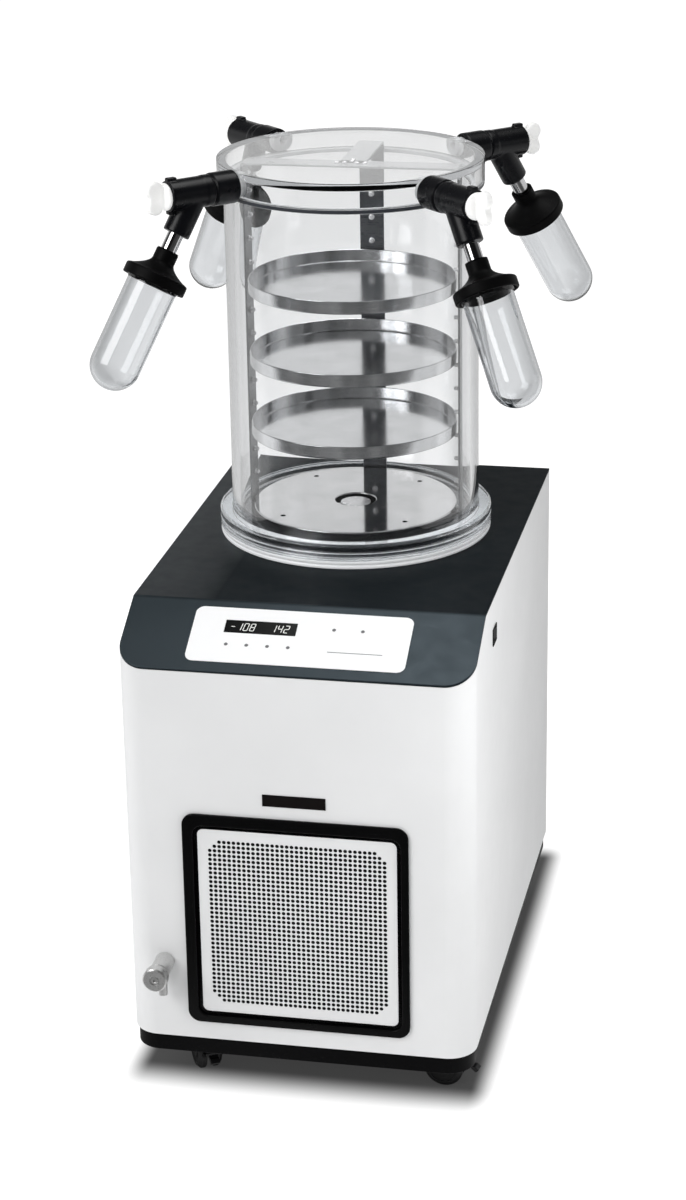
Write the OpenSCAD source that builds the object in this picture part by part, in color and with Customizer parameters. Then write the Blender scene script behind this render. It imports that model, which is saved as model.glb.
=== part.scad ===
// Floor-standing laboratory freeze dryer: a refrigerated cabinet on casters that
// carries a clear drying chamber with three trays and four flask ports.
// Origin: centre of the cabinet's footprint on the floor. +Z up, the front faces -Y.

/* [Cabinet] */
// Width of the cabinet
cabinet_w = 340; // [310:1:420]
// Depth of the cabinet
cabinet_d = 520; // [500:1:640]
// Height of the flat top cover above the floor
cabinet_h = 497; // [480:1:600]
// Height of the front edge where the sloped panel starts
front_h = 456; // [430:1:470]
// Depth of the sloped panel, measured level
slope_run = 79; // [70:1:84]
// Radius of the two vertical front corners
corner_r = 28; // [10:1:40]
// Thickness of the painted sheet
sheet_t = 1.5; // [1:0.1:2.5]
// Thickness of the top cover
cover_t = 2; // [1.5:0.1:3]
// Height of the dark plinth under the shell
plinth_h = 18; // [14:1:30]
// How far the plinth stands back from the shell
plinth_inset = 2.5; // [1:0.5:6]

/* [Front grille] */
// Width of the dark surround
grille_w = 219; // [190:1:240]
// Height of the dark surround
grille_h = 222; // [200:1:250]
// Height of the surround's centre above the floor
grille_z = 198.5; // [190:0.5:215]
// Width of the surround's face on each side of the perforated panel
grille_side = 12.5; // [11:0.5:20]
// Corner radius of the panel
panel_r = 10; // [4:1:16]
// Holes in each row and column of the perforated panel
vent_count = 11; // [5:1:11]
// Diameter of the holes in the perforated panel
vent_d = 8.6; // [4:0.2:10]

/* [Control panel] */
// Width of the membrane overlay
overlay_w = 209; // [180:1:230]
// Length of the overlay along the slope
overlay_l = 67.5; // [60:0.5:72]
// Distance from the front edge to the overlay, along the slope
overlay_start = 11.5; // [6:0.5:14]
// Thickness of the overlay
overlay_t = 0.8; // [0.5:0.1:1.5]
// Width of the display window
display_w = 69; // [50:1:80]
// Height of the display window along the slope
display_l = 16; // [12:0.5:24]

/* [Power switch] */
// Length of the switch front, from front to back
switch_l = 21.5; // [18:0.5:30]
// Height of the switch front
switch_h = 17.4; // [14:0.2:24]
// Distance of the switch's centre from the cabinet's front
switch_setback = 130; // [110:1:180]
// Depth of the switch's centre below the top cover
switch_drop = 39.5; // [30:0.5:60]

/* [Drain valve] */
// Distance of the drain from the cabinet's middle
drain_x = 131.5; // [126:0.5:136]
// Height of the drain above the floor
drain_z = 149.5; // [120:0.5:200]
// Diameter of the drain's body
drain_d = 19; // [16:0.5:22]
// Diameter of the drain's knob
drain_knob_d = 24; // [20:0.5:30]
// How far the drain stands out of the front
drain_reach = 42; // [38:0.5:50]
// Diameter of the drain spout
spout_d = 9; // [7:0.5:10]

/* [Casters] */
// Diameter of the caster wheels
wheel_d = 40; // [36:1:44]
// Height of the plinth's underside above the floor
floor_gap = 50; // [49:1:60]
// Distance of each swivel axis from the cabinet's middle
caster_x = 118; // [90:1:124]
// Distance of the swivel axes from the cabinet's front and back
caster_setback = 77; // [70:1:110]
// Offset of the wheel axle from the swivel axis
caster_trail = 13; // [12:0.5:16]

/* [Chamber] */
// Distance of the chamber axis from the cabinet's front
chamber_setback = 313.5; // [300:0.5:330]
// Outer diameter of the clear tube
tube_od = 249; // [240:1:252]
// Wall of the clear tube
tube_wall = 8; // [6:0.5:9]
// Length of the clear tube
tube_l = 342.5; // [340:0.5:420]
// Outer diameter of the flange ring
flange_od = 274; // [268:1:300]
// Height of the clear flange ring
flange_h = 17; // [12:0.5:20]
// Height of the base gasket
gasket_h = 8; // [5:0.5:10]
// Outer diameter of the head
head_od = 261; // [259:1:264]
// Height of the head
head_h = 25; // [24:0.5:30]
// Wall of the head's ring
head_wall = 8.6; // [7:0.2:9]
// Thickness of the head's top plate
head_top_t = 6; // [4:0.5:6]
// Thickness of the seal under the head
seal_t = 3.5; // [2:0.5:5]

/* [Rack and trays] */
// Outer diameter of the trays
tray_d = 206; // [180:1:207]
// Height of the tray rims
tray_rim_h = 13; // [8:0.5:20]
// Thickness of the tray sheet
tray_t = 1.2; // [0.8:0.1:2]
// Distance between two rest pins along a post
pin_pitch = 24.2; // [22:0.1:26]
// Rest pins between one tray and the next
pins_per_tray = 3; // [2:1:3]
// Height of the rack plate's top above the top cover
plate_z = 27; // [24:0.5:30]
// Diameter of the rack plate
plate_d = 205; // [180:1:207]
// Width of the rack posts
post_w = 20; // [14:0.5:24]
// Thickness of the rack posts
post_t = 2; // [1.5:0.1:3]

/* [Valves and flasks] */
// Diameter of the valve's socket end
socket_d = 32; // [30:0.5:34]
// Diameter of the valve's barrel
barrel_d = 29.5; // [28:0.5:31]
// Length of the valve body
valve_l = 72.5; // [70:0.5:80]
// Angle between the valve and its branch
branch_angle = 58.5; // [54:0.5:66]
// Diameter of the branch
branch_d = 26; // [24:0.5:27]
// Length of the branch from the valve axis
branch_l = 43.5; // [40:0.5:50]
// Diameter of the turn knob's disc
knob_d = 26; // [22:0.5:28]
// Length of the knob's wing
wing_l = 32; // [28:0.5:36]
// Diameter of the flask stem
stem_d = 15.4; // [13:0.2:16]
// Length of stem that shows between branch and cap
stem_gap = 17; // [10:0.5:24]
// Diameter of the flask cap's rim
cap_d = 62; // [58:0.5:66]
// Diameter of the flask cap's neck
neck_d = 22; // [20:0.5:24]
// Diameter of the flask
flask_d = 49; // [44:0.5:50]
// Length of flask below the cap
flask_l = 108; // [80:1:120]

/* [Hidden] */
$fn = 96;

// Clearances
seat_gap = 0.3;
run_gap = 0.05;
slip_gap = 0.1;

// Colours
white_paint = [0.88, 0.89, 0.9];
dark_paint = [0.2, 0.23, 0.26];
black = [0.06, 0.06, 0.07];
rubber_black = [0.08, 0.08, 0.08];
nylon_white = [0.93, 0.93, 0.93];
steel = [0.72, 0.73, 0.75];
clear = [0.85, 0.9, 0.93, 0.35];

// Cabinet planes
front_y = -cabinet_d / 2;
back_y = cabinet_d / 2;
half_w = cabinet_w / 2;
slope = atan2(cabinet_h - front_h, slope_run);
shell_z = floor_gap + plinth_h;
plinth_wall = 4;
plinth_floor_t = 3;
lip_w = 14;
skirt_h = 12;
panel_w = grille_w - 2 * grille_side;
panel_h = grille_h - 2 * grille_side;
grille_frame_r = panel_r + 2;
grille_proud = 3;
panel_shift = 1.5;
panel_t = 1.2;
panel_set = 1.2;
frame_tail = 14;
through = 60;
slots = [7, 2];
slot_w = 80;
slot_h = 6;
slot_x = 65;
slot_z = 205;
slot_pitch = 17;

// Control panel: the display's centre from the middle and from the overlay's lower edge
display_x = -39;
display_up = 44.5;
display_hold = 6;
overlay_r = 8;

// Chamber planes
chamber_y = front_y + chamber_setback;
tube_r = tube_od / 2;
tube_in_r = tube_r - tube_wall;
flange_r = flange_od / 2;
tube_z = cabinet_h + gasket_h;
tube_top = tube_z + tube_l;
head_z = tube_top + seal_t;
head_r = head_od / 2;
head_in_r = head_r - head_wall;
head_top = head_z + head_h;
port_z = head_z + head_h / 2;
port_angles = [225, 315, 45, 135];

// Trap under the chamber
collar_r = tube_in_r - 1;
trap_wall = 2;
trap_r = plate_d / 2 - 4.5;
trap_depth = 207;
plate_rim_h = 7;
plate_t = 1.5;
plate_hole_r = 20.5;
plate_bolt_in = 16.5;
plate_bolt_r = 2;
collar_z = cabinet_h + plate_z - plate_rim_h;
trap_bottom = cabinet_h - trap_depth;

// Rack
tray_r = tray_d / 2;
post_r = max(tray_r, plate_d / 2) + 2.5;
plate_top = cabinet_h + plate_z;
strap_z = head_z + 10;
post_angles = [0, 90, 180];
pin_r = 2;
pin_l = 8;
pin_first = plate_top + pin_pitch;
pin_count = floor((strap_z - 12 - pin_first) / pin_pitch) + 1;
tray_pin = 2;
tray_z = [for (i = [0:2]) pin_first + (tray_pin + i * pins_per_tray) * pin_pitch + pin_r + 0.1];

// Valves: distances from the chamber axis, then from the bend point along the branch
nipple_flange_t = 2.6;
nipple_flange_r = 12;
nipple_hub_r = 9.6;
nipple_bore_r = 4.2;
shank_r = 5.8;
valve_start = head_r + nipple_flange_t + 1.2;
valve_end = valve_start + valve_l;
socket_l = 25;
groove_l = 2;
hub_l = 21;
bend_r = valve_start + 41.5;
plug_r = 8;
plug_start = bend_r - 10;
branch_bore_r = stem_d / 2 + slip_gap;
stem_in = 22;
cap_start = branch_l + stem_gap;
neck_l = 12;
flare_l = 11;
rim_l = 12;
cap_l = neck_l + flare_l + rim_l;
flask_wall = 2.2;
flask_in = 13;
flask_top = cap_start + cap_l - flask_in;
flask_end = cap_start + cap_l + flask_l;
knob_t = 5;
wing_h = 15;
wing_t = 6;

// Casters: front left, front right, back right, back left
caster_at = [[-1, -1], [1, -1], [1, 1], [-1, 1]];
caster_turn = [-60, -8, 70, 125];
wheel_r = wheel_d / 2;
plate_size = 42;
caster_plate_t = 2.5;
boss_l = 3.5;
king_r = 5;
axle_r = 3;
web_t = 7;
wheel_w = 8;
wheel_gap = 0.5;
fender_gap = 1.3;
fender_t = 1.7;
fender_low = 8;
web_end_r = 6.5;
wheels_w = web_t + 2 * wheel_gap + 2 * wheel_w;
hood_top = floor_gap - caster_plate_t - boss_l - seat_gap;
pedal_pin_r = 1.8;
pedal_barrel_r = 3.4;
pedal_at = [caster_trail + wheel_r + 4, wheel_r + 6];
pedal_l = 20;
pedal_w = 15;
pedal_slope = -41;
pedal_t = 2.8;
tread_t = 3;
ear_t = 2.6;

// Rear interfaces
port_reach = drain_reach;
kf_r = 20;
kf_tube_r = 14;
kf_bore_r = 12;
kf_z = cabinet_h - 77;
inlet_w = 28;
inlet_h = 48;
inlet_x = -95;
inlet_z = 125;

// Drain
spout_at = 12;
spout_l = 30;
spout_collar_l = 12;
spout_collar_w = 2;
spout_bore_r = 2.8;
drain_bore_r = 5;
drain_knob_l = 12.6;
drain_screw_r = 3.4;

// Inside the cabinet
jacket_t = 16;
jacket_floor = 20;
comp_r = 62;
comp_x = 78;
comp_y = back_y - comp_r - 33;
pad_r = comp_r - 12;
pad_h = 9;
comp_h = 165;
condenser_y = front_y + frame_tail + 8;
condenser_t = 34;
condenser_z = floor_gap + 44;
condenser_w = panel_w - 6;
condenser_h = panel_h - 4;
fin_count = 16;
fin_t = 1.2;
coil_count = 6;
coil_r = 4.8;
coil_inset = 16;
fan_y = condenser_y + condenser_t + 6;
fan_r = (min(panel_w, panel_h) - 42) / 2;
fan_z = condenser_z + condenser_h / 2;
fan_ring_w = 3;
fan_ring_l = 20;
motor_r = 22;
motor_l = 30;
motor_at = 50;
shaft_r = 4;
fan_hub_r = 20;
fan_hub_l = 14;
blade_count = 5;
blade_w = 32;
blade_l = fan_r - 18;
blade_t = 2;
blade_tilt = 24;

// ---------- Shared shapes ----------

// The cabinet's outline from above, moved in by a distance; the back can be left open
module footprint(inset, back_extra = 0) {
    r = corner_r - inset;
    w = half_w - inset;
    front = front_y + inset;
    back = back_y - inset + back_extra;
    translate([-w, front + r]) square([2 * w, back - front - r]);
    translate([r - w, front]) square([2 * (w - r), r + 1]);
    for (s = [-1, 1]) translate([s * (w - r), front + r]) circle(r);
}

// Everything below the cover's outer line moved down by a distance
module below_cover(d) {
    m = 40;
    rotate([90, 0, 90]) translate([0, 0, -cabinet_w]) linear_extrude(2 * cabinet_w)
        polygon([
            [front_y - m, front_h - m * tan(slope) - d / cos(slope)],
            [front_y + slope_run + d * tan(slope / 2), cabinet_h - d],
            [back_y + m, cabinet_h - d],
            [back_y + m, 0],
            [front_y - m, 0]]);
}

// Puts children on the sloped panel: X across, Y up the slope from the front edge, Z outward
module on_slope(d = 0) {
    translate([0, front_y, front_h]) rotate([slope, 0, 0]) translate([0, 0, -d]) children();
}

// A plate with rounded corners, centred on the origin, in the X-Y plane
module round_rect(w, h, r) {
    square([w - 2 * r, h], center = true);
    square([w, h - 2 * r], center = true);
    for (x = [-1, 1], y = [-1, 1]) translate([x * (w / 2 - r), y * (h / 2 - r)]) circle(r);
}

// Stands an X-Y shape up in the front plane, growing forward from y by a thickness
module on_front(y, t) {
    translate([0, y, 0]) rotate([90, 0, 0]) linear_extrude(t) children();
}

module ring(r_out, r_in, h) {
    difference() {
        cylinder(r = r_out, h = h);
        translate([0, 0, -1]) cylinder(r = r_in, h = h + 2);
    }
}

module at_chamber(z) {
    translate([0, chamber_y, z]) children();
}

// Local Z points outward along port i, local X points down
module along_port(i) {
    at_chamber(port_z) rotate([0, 0, port_angles[i]]) rotate([0, 90, 0]) children();
}

// Local Z points down the branch of port i, from the bend
module along_branch(i) {
    along_port(i) translate([0, 0, bend_r]) rotate([0, branch_angle, 0]) children();
}

// Local X points along the caster's trail, Z up, from the swivel axis on the floor
module at_caster(i) {
    translate([caster_at[i].x * caster_x, caster_at[i].y * (back_y - caster_setback), 0])
        rotate([0, 0, caster_turn[i]]) children();
}

// Lays children across a caster: local Z becomes local Y of the caster
module across(w) {
    rotate([90, 0, 0]) translate([0, 0, -w / 2]) children();
}

// ---------- Cabinet ----------

module cabinet_shell() {
    color(white_paint) difference() {
        intersection() {
            below_cover(cover_t);
            union() {
                translate([0, 0, shell_z]) linear_extrude(cabinet_h - shell_z) difference() {
                    footprint(0);
                    footprint(sheet_t, 10);
                }
                translate([0, 0, shell_z]) linear_extrude(sheet_t) difference() {
                    footprint(sheet_t / 2);
                    footprint(lip_w);
                }
            }
        }
        // grille opening, drain hole, switch hole
        translate([0, 0, grille_z]) on_front(front_y + 5, 10)
            round_rect(grille_w - 10, grille_h - 10, grille_frame_r - 5);
        translate([-drain_x, front_y + 5, drain_z]) rotate([90, 0, 0]) cylinder(r = 6.5, h = 10);
        translate([half_w - 5, front_y + switch_setback, cabinet_h - switch_drop])
            rotate([90, 0, 90]) linear_extrude(10) square([switch_l - 3, switch_h - 3], center = true);
    }
}

module rear_panel() {
    w = half_w - sheet_t - seat_gap;
    z0 = shell_z + sheet_t + seat_gap;
    z1 = cabinet_h - cover_t - seat_gap;
    color(white_paint) difference() {
        union() {
            translate([-w, back_y - sheet_t, z0]) cube([2 * w, sheet_t, z1 - z0]);
            for (s = [-1, 1]) translate([s * (w - sheet_t / 2) - sheet_t / 2, back_y - lip_w, z0])
                cube([sheet_t, lip_w - sheet_t / 2, z1 - z0 - skirt_h - 2]);
        }
        // air slots
        for (row = [0:slots[0] - 1], side = [-1, 1])
            translate([side * slot_x - slot_w / 2, back_y - 5, slot_z + row * slot_pitch])
                cube([slot_w, 10, slot_h]);
        translate([0, back_y - 5, kf_z]) rotate([-90, 0, 0]) cylinder(r = kf_tube_r + seat_gap, h = 10);
        translate([inlet_x - (inlet_w - 4) / 2, back_y - 5, inlet_z - (inlet_h - 4) / 2])
            cube([inlet_w - 4, 10, inlet_h - 4]);
    }
}

module top_cover() {
    color(dark_paint) difference() {
        union() {
            // the bent sheet itself
            intersection() {
                difference() { below_cover(0); below_cover(cover_t); }
                translate([0, 0, front_h - 20]) linear_extrude(cabinet_h) footprint(0);
            }
            // skirt that drops inside the shell
            intersection() {
                difference() { below_cover(cover_t / 2); below_cover(cover_t + skirt_h); }
                translate([0, 0, front_h - 40]) linear_extrude(cabinet_h) difference() {
                    footprint(sheet_t + seat_gap);
                    footprint(2 * sheet_t + seat_gap);
                }
            }
        }
        at_chamber(cabinet_h - through / 2) cylinder(r = trap_r + slip_gap, h = through);
        // window for the display module
        on_slope(through / 2) translate([display_x, overlay_start + display_up, 0]) linear_extrude(through)
            square([display_w - display_hold, display_l - display_hold + 2], center = true);
    }
}

module base_plinth() {
    color(black) difference() {
        union() {
            translate([0, 0, floor_gap]) linear_extrude(plinth_floor_t) footprint(plinth_inset);
            translate([0, 0, floor_gap]) linear_extrude(plinth_h) difference() {
                footprint(plinth_inset);
                footprint(plinth_inset + plinth_wall);
            }
            // pads that carry the compressors
            for (s = [-1, 1]) translate([s * comp_x, comp_y, floor_gap]) cylinder(r = pad_r, h = pad_h);
            // rail that carries the condenser
            translate([-panel_w / 2, condenser_y, floor_gap])
                cube([panel_w, condenser_t, condenser_z - floor_gap]);
        }
        // sockets for the king pins
        for (i = [0:3]) at_caster(i) translate([0, 0, floor_gap - 1]) cylinder(r = king_r + 1, h = 2.2);
    }
}

module grille_frame() {
    color(black) difference() {
        union() {
            translate([0, 0, grille_z]) on_front(front_y - slip_gap, grille_proud)
                round_rect(grille_w, grille_h, grille_frame_r);
            translate([0, 0, grille_z]) on_front(front_y + frame_tail, frame_tail + 1)
                round_rect(grille_w - 10.6, grille_h - 10.6, grille_frame_r - 5.3);
        }
        // seat of the panel, then the air way behind it
        translate([panel_shift, 0, grille_z - panel_shift]) on_front(front_y + panel_set, 20)
            round_rect(panel_w + 2 * slip_gap, panel_h + 2 * slip_gap, panel_r);
        translate([panel_shift, 0, grille_z - panel_shift]) on_front(front_y + through / 2, through)
            round_rect(panel_w - 8, panel_h - 8, panel_r - 4);
    }
}

module grille_panel() {
    pitch_x = (panel_w - 26) / (vent_count - 1);
    pitch_z = (panel_h - 26) / (vent_count - 1);
    mid = (vent_count - 1) / 2;
    color(white_paint) translate([panel_shift, 0, grille_z - panel_shift])
        on_front(front_y + panel_set, panel_t) difference() {
            round_rect(panel_w, panel_h, panel_r);
            for (i = [-mid:mid], j = [-mid:mid]) if (abs(i) + abs(j) < 2 * mid)
                translate([i * pitch_x, j * pitch_z]) circle(d = vent_d, $fn = 24);
        }
}

// ---------- Control panel ----------

module control_overlay() {
    color([0.97, 0.97, 0.97]) on_slope(-slip_gap) translate([0, overlay_start + overlay_l / 2, 0])
        linear_extrude(overlay_t) difference() {
            round_rect(overlay_w, overlay_l, overlay_r);
            translate([display_x, display_up - overlay_l / 2]) square([display_w, display_l], center = true);
        }
}

module display_window() {
    color([0.07, 0.07, 0.08]) on_slope(-slip_gap) translate([display_x, overlay_start + display_up, 0]) {
        linear_extrude(overlay_t / 2)
            square([display_w - 2 * slip_gap, display_l - 2 * slip_gap], center = true);
        translate([0, 0, -cover_t - 3]) linear_extrude(cover_t + 3.1)
            square([display_w - display_hold - 1, display_l - display_hold + 1], center = true);
    }
}

module switch_at() {
    translate([half_w, front_y + switch_setback, cabinet_h - switch_drop]) rotate([90, 0, 90]) children();
}

module switch_bezel() {
    color(black) switch_at() difference() {
        union() {
            translate([0, 0, slip_gap]) linear_extrude(1.2) square([switch_l, switch_h], center = true);
            translate([0, 0, -16]) linear_extrude(16.5)
                square([switch_l - 3.4, switch_h - 3.4], center = true);
        }
        translate([0, 0, -12]) linear_extrude(20) square([switch_l - 6, switch_h - 6], center = true);
        for (s = [-1, 1]) translate([0, s * (switch_h / 2 - 3.6), -3]) rotate([90, 0, 0])
            cylinder(r = 1.05, h = 2.4, center = true, $fn = 32);
    }
}

module power_rocker() {
    l = switch_l - 8;
    h = switch_h - 7;
    color([0.1, 0.1, 0.11]) switch_at() {
        translate([0, 0, -3]) rotate([90, 0, 0]) linear_extrude(h, center = true)
            polygon([[-l / 2, 3.4], [0, 2.4], [l / 2, 4.4], [l / 2 - 1.6, -2], [1 - l / 2, -2]]);
        translate([0, 0, -3]) rotate([90, 0, 0]) cylinder(r = 1, h = h + 2.2, center = true, $fn = 32);
    }
}

module power_inlet() {
    color(black) translate([inlet_x, back_y, inlet_z]) rotate([-90, 0, 0]) difference() {
        union() {
            translate([0, 0, slip_gap]) linear_extrude(2) square([inlet_w, inlet_h], center = true);
            translate([0, 0, -22]) linear_extrude(23) square([inlet_w - 4.6, inlet_h - 4.6], center = true);
        }
        translate([0, 6, -14]) linear_extrude(30) square([inlet_w - 9, 18], center = true);
        translate([0, -14, -3]) linear_extrude(30) square([16, 7], center = true);
    }
    // contact blades
    color(steel) translate([inlet_x, back_y, inlet_z - 6]) for (x = [-5, 0, 5])
        translate([x - 1, -15, -3]) cube([2, 12, 4]);
}

// ---------- Drain valve ----------

module drain_body() {
    color(steel) translate([-drain_x, front_y, drain_z]) rotate([90, 0, 0]) difference() {
        union() {
            translate([0, 0, slip_gap]) cylinder(d = drain_d, h = drain_reach - 16);
            translate([0, 0, -18]) cylinder(r = 6, h = 20);
            translate([0, 0, -sheet_t - 4 - slip_gap]) cylinder(r = 10, h = 4, $fn = 6);
            // spout with its collar
            translate([0, 0, spout_at]) rotate([90, 0, 0]) {
                cylinder(d = spout_d, h = spout_l);
                cylinder(r = spout_d / 2 + spout_collar_w, h = spout_collar_l);
            }
        }
        translate([0, 0, -19]) cylinder(r = 3, h = spout_at + 20);
        translate([0, 0, spout_at + 1]) cylinder(r = drain_bore_r, h = through);
        translate([0, -5, spout_at]) rotate([90, 0, 0]) cylinder(r = spout_bore_r, h = through);
    }
}

module drain_knob() {
    start = drain_reach - drain_knob_l - 3;
    color(steel) translate([-drain_x, front_y, drain_z]) rotate([90, 0, 0]) difference() {
        union() {
            translate([0, 0, spout_at + 4]) cylinder(r = drain_bore_r - run_gap, h = start - spout_at - 3);
            translate([0, 0, start]) cylinder(d = drain_d - 3, h = 4);
            // bell with a round back and a chamfered front edge
            rotate_extrude() polygon(concat([[0, drain_reach]], [[drain_knob_d / 2 - 1.5, drain_reach],
                [drain_knob_d / 2, drain_reach - 1.5]], [for (a = [0:15:90])
                [drain_knob_d / 2 - 3 + 3 * cos(a), drain_reach - drain_knob_l + 3 - 3 * sin(a)]],
                [[0, drain_reach - drain_knob_l]]));
        }
        // sunk socket screw
        translate([0, 0, drain_reach - 0.8]) cylinder(r = drain_screw_r + 1.5, h = 5);
        translate([0, 0, drain_reach - 2.5]) ring(drain_screw_r + 1.5, drain_screw_r, 5);
        translate([0, 0, drain_reach - 2.3]) cylinder(r = drain_screw_r / 2, h = 4, $fn = 6);
    }
}

// ---------- Casters ----------

module caster_plates() {
    color([0.45, 0.46, 0.48]) for (i = [0:3]) at_caster(i) rotate([0, 0, -caster_turn[i]]) difference() {
        union() {
            translate([0, 0, floor_gap - caster_plate_t]) linear_extrude(caster_plate_t)
                round_rect(plate_size, plate_size, 5);
            translate([0, 0, floor_gap - caster_plate_t - boss_l]) cylinder(r = 11, h = boss_l + 1);
        }
        translate([0, 0, floor_gap - 20]) cylinder(r = king_r + run_gap, h = 30);
        for (x = [-1, 1], y = [-1, 1]) translate([x * 16, y * 16, floor_gap - 10]) cylinder(r = 2.2, h = 20);
    }
}

module caster_hood(i) {
    axle = [caster_trail, wheel_r];
    color(black) at_caster(i) difference() {
        union() {
            // fender over both wheels
            across(wheels_w + 2) linear_extrude(wheels_w + 2) difference() {
                translate(axle) circle(wheel_r + fender_gap + fender_t);
                translate(axle) circle(wheel_r + fender_gap);
                // the fender reaches down to a line above the axle, and stops short of the pedal
                translate([-wheel_d, -wheel_d / 2]) square([4 * wheel_d, wheel_d / 2 + wheel_r + fender_low]);
                translate([caster_trail + wheel_r - 4, -wheel_d / 2]) square(2 * wheel_d);
            }
            // web between the wheels, up to the boss
            across(web_t) linear_extrude(web_t) {
                translate(axle) circle(web_end_r);
                polygon([[-9, hood_top - 6], [-9, hood_top - 11], [axle.x - 6, axle.y - 2],
                    [axle.x + 6, axle.y + 2], [axle.x + 8, axle.y + wheel_r + 1], [-2, hood_top - 2]]);
            }
            translate([0, 0, hood_top - 8]) cylinder(r = 11, h = 8);
            translate([0, 0, hood_top - 4]) cylinder(r = king_r, h = floor_gap - hood_top + 4 - 0.4);
            // ears for the pedal
            if (i < 2) for (s = [-1, 1]) translate([0, s * (pedal_w / 2 + run_gap * 6 + ear_t / 2), 0])
                across(ear_t) linear_extrude(ear_t) {
                    translate(pedal_at) circle(pedal_barrel_r);
                    polygon([pedal_at + [pedal_barrel_r, 0], pedal_at - [pedal_barrel_r * 0.9, 1],
                        axle + [13, 17.6], axle + [14, 20.4], pedal_at + [2, 3]]);
                }
        }
        // running space of the wheels
        for (s = [-1, 1]) translate([axle.x, s * (web_t / 2 + (wheel_w + 2) / 2), axle.y]) rotate([90, 0, 0])
            cylinder(r = wheel_r + fender_gap, h = wheel_w + 2, center = true);
        translate([axle.x, 0, axle.y]) rotate([90, 0, 0])
            cylinder(r = axle_r + run_gap, h = 60, center = true);
        if (i < 2) translate([pedal_at.x, 0, pedal_at.y]) rotate([90, 0, 0])
            cylinder(r = pedal_pin_r + run_gap, h = 60, center = true, $fn = 48);
    }
}

module caster_wheels(i) {
    shoulder = 3.5;
    color([0.12, 0.12, 0.13]) at_caster(i) translate([caster_trail, 0, wheel_r]) rotate([90, 0, 0]) {
        cylinder(r = axle_r, h = wheels_w, center = true);
        for (s = [-1, 1]) scale([1, 1, s]) translate([0, 0, web_t / 2 + wheel_gap])
            rotate_extrude() difference() {
            union() {
                square([wheel_r - shoulder, wheel_w]);
                square([wheel_r, wheel_w - shoulder]);
                translate([wheel_r - shoulder, wheel_w - shoulder]) circle(shoulder);
            }
            translate([-50, -1]) square([50, wheel_w + 2]);
            translate([8, wheel_w - 2]) square([6, 4]);
        }
    }
}

module brake_pedal(i) {
    color([0.16, 0.16, 0.17]) at_caster(i) translate([pedal_at.x, 0, pedal_at.y]) {
        rotate([90, 0, 0]) cylinder(r = pedal_barrel_r, h = pedal_w, center = true);
        rotate([90, 0, 0]) cylinder(r = pedal_pin_r, h = pedal_w + 2 * ear_t, center = true, $fn = 48);
        across(pedal_w) linear_extrude(pedal_w) rotate(pedal_slope) polygon([[0, -pedal_t / 2],
            [pedal_l - 1, -pedal_t / 2], [pedal_l, 0], [pedal_l, tread_t], [pedal_l - 8, tread_t],
            [pedal_l - 10, pedal_t / 2], [0, pedal_t / 2]]);
    }
}

// ---------- Chamber ----------

module base_gasket() {
    color([0.86, 0.88, 0.88]) at_chamber(cabinet_h) difference() {
        ring(flange_r - 0.5, tube_in_r - 0.4, gasket_h);
        translate([0, 0, gasket_h / 2 - 0.6]) ring(flange_r + 5, flange_r - 1.5, 1.2);
    }
}

module chamber_flange() {
    color(clear) at_chamber(tube_z) difference() {
        ring(flange_r, tube_r + slip_gap, flange_h);
        translate([0, 0, flange_h * 0.45]) ring(flange_r + 5, flange_r - 1.2, 2.2);
        translate([0, 0, flange_h - 1.5]) rotate_extrude() polygon([[flange_r + 1, -1], [flange_r + 1, 2.5],
            [flange_r - 2.5, 2.5]]);
    }
}

module chamber_tube() {
    color(clear) at_chamber(tube_z) ring(tube_r, tube_in_r, tube_l);
}

module head_seal() {
    color(rubber_black) at_chamber(tube_top) {
        ring(head_r - 0.4, tube_in_r + 0.5, seal_t);
        translate([0, 0, -4]) ring(tube_r + 3, tube_r + slip_gap, 4.5);
    }
}

module chamber_head() {
    color(clear) difference() {
        at_chamber(head_z) cylinder(r = head_r, h = head_h);
        at_chamber(head_z - 1) cylinder(r = head_in_r, h = head_h - head_top_t + 1);
        for (i = [0:3]) along_port(i) translate([0, 0, head_in_r - 20])
            cylinder(r = shank_r + slip_gap, h = 60);
    }
}

module port_nipples() {
    for (i = [0:3]) color(nylon_white) along_port(i) difference() {
        union() {
            translate([0, 0, head_in_r - 0.5]) cylinder(r = shank_r, h = head_wall + 3);
            translate([0, 0, head_r + seat_gap])
                cylinder(r = nipple_flange_r, h = nipple_flange_t - seat_gap);
            translate([0, 0, head_r + 2]) cylinder(r = nipple_hub_r, h = nipple_flange_t + hub_l);
        }
        translate([0, 0, head_in_r - 5]) cylinder(r = nipple_bore_r, h = 80);
    }
}

// ---------- Rack ----------

module rack_frame() {
    color(steel) at_chamber(0) {
        for (a = post_angles) rotate([0, 0, a]) {
            translate([post_r, -post_w / 2, collar_z]) cube([post_t, post_w, strap_z - collar_z]);
            translate([0, -post_w / 2, strap_z - post_t]) cube([post_r + post_t, post_w, post_t]);
        }
    }
}

module rack_pins() {
    color([0.8, 0.81, 0.82]) at_chamber(0) for (a = post_angles) rotate([0, 0, a]) {
        for (k = [0:pin_count - 1]) translate([post_r, 0, pin_first + k * pin_pitch]) rotate([0, -90, 0]) {
            translate([0, 0, slip_gap / 2]) cylinder(r = pin_r, h = pin_l, $fn = 32);
        }
        // spacers between the posts and the plate's rim, and screws in the straps
        translate([plate_d / 2 + slip_gap / 2, 0, plate_top - plate_rim_h / 2]) rotate([0, 90, 0])
            cylinder(r = 2.4, h = post_r - plate_d / 2 - slip_gap, $fn = 32);
        translate([8, 0, strap_z + slip_gap / 2]) cylinder(r = 2.6, h = 1.8, $fn = 32);
    }
}

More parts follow.
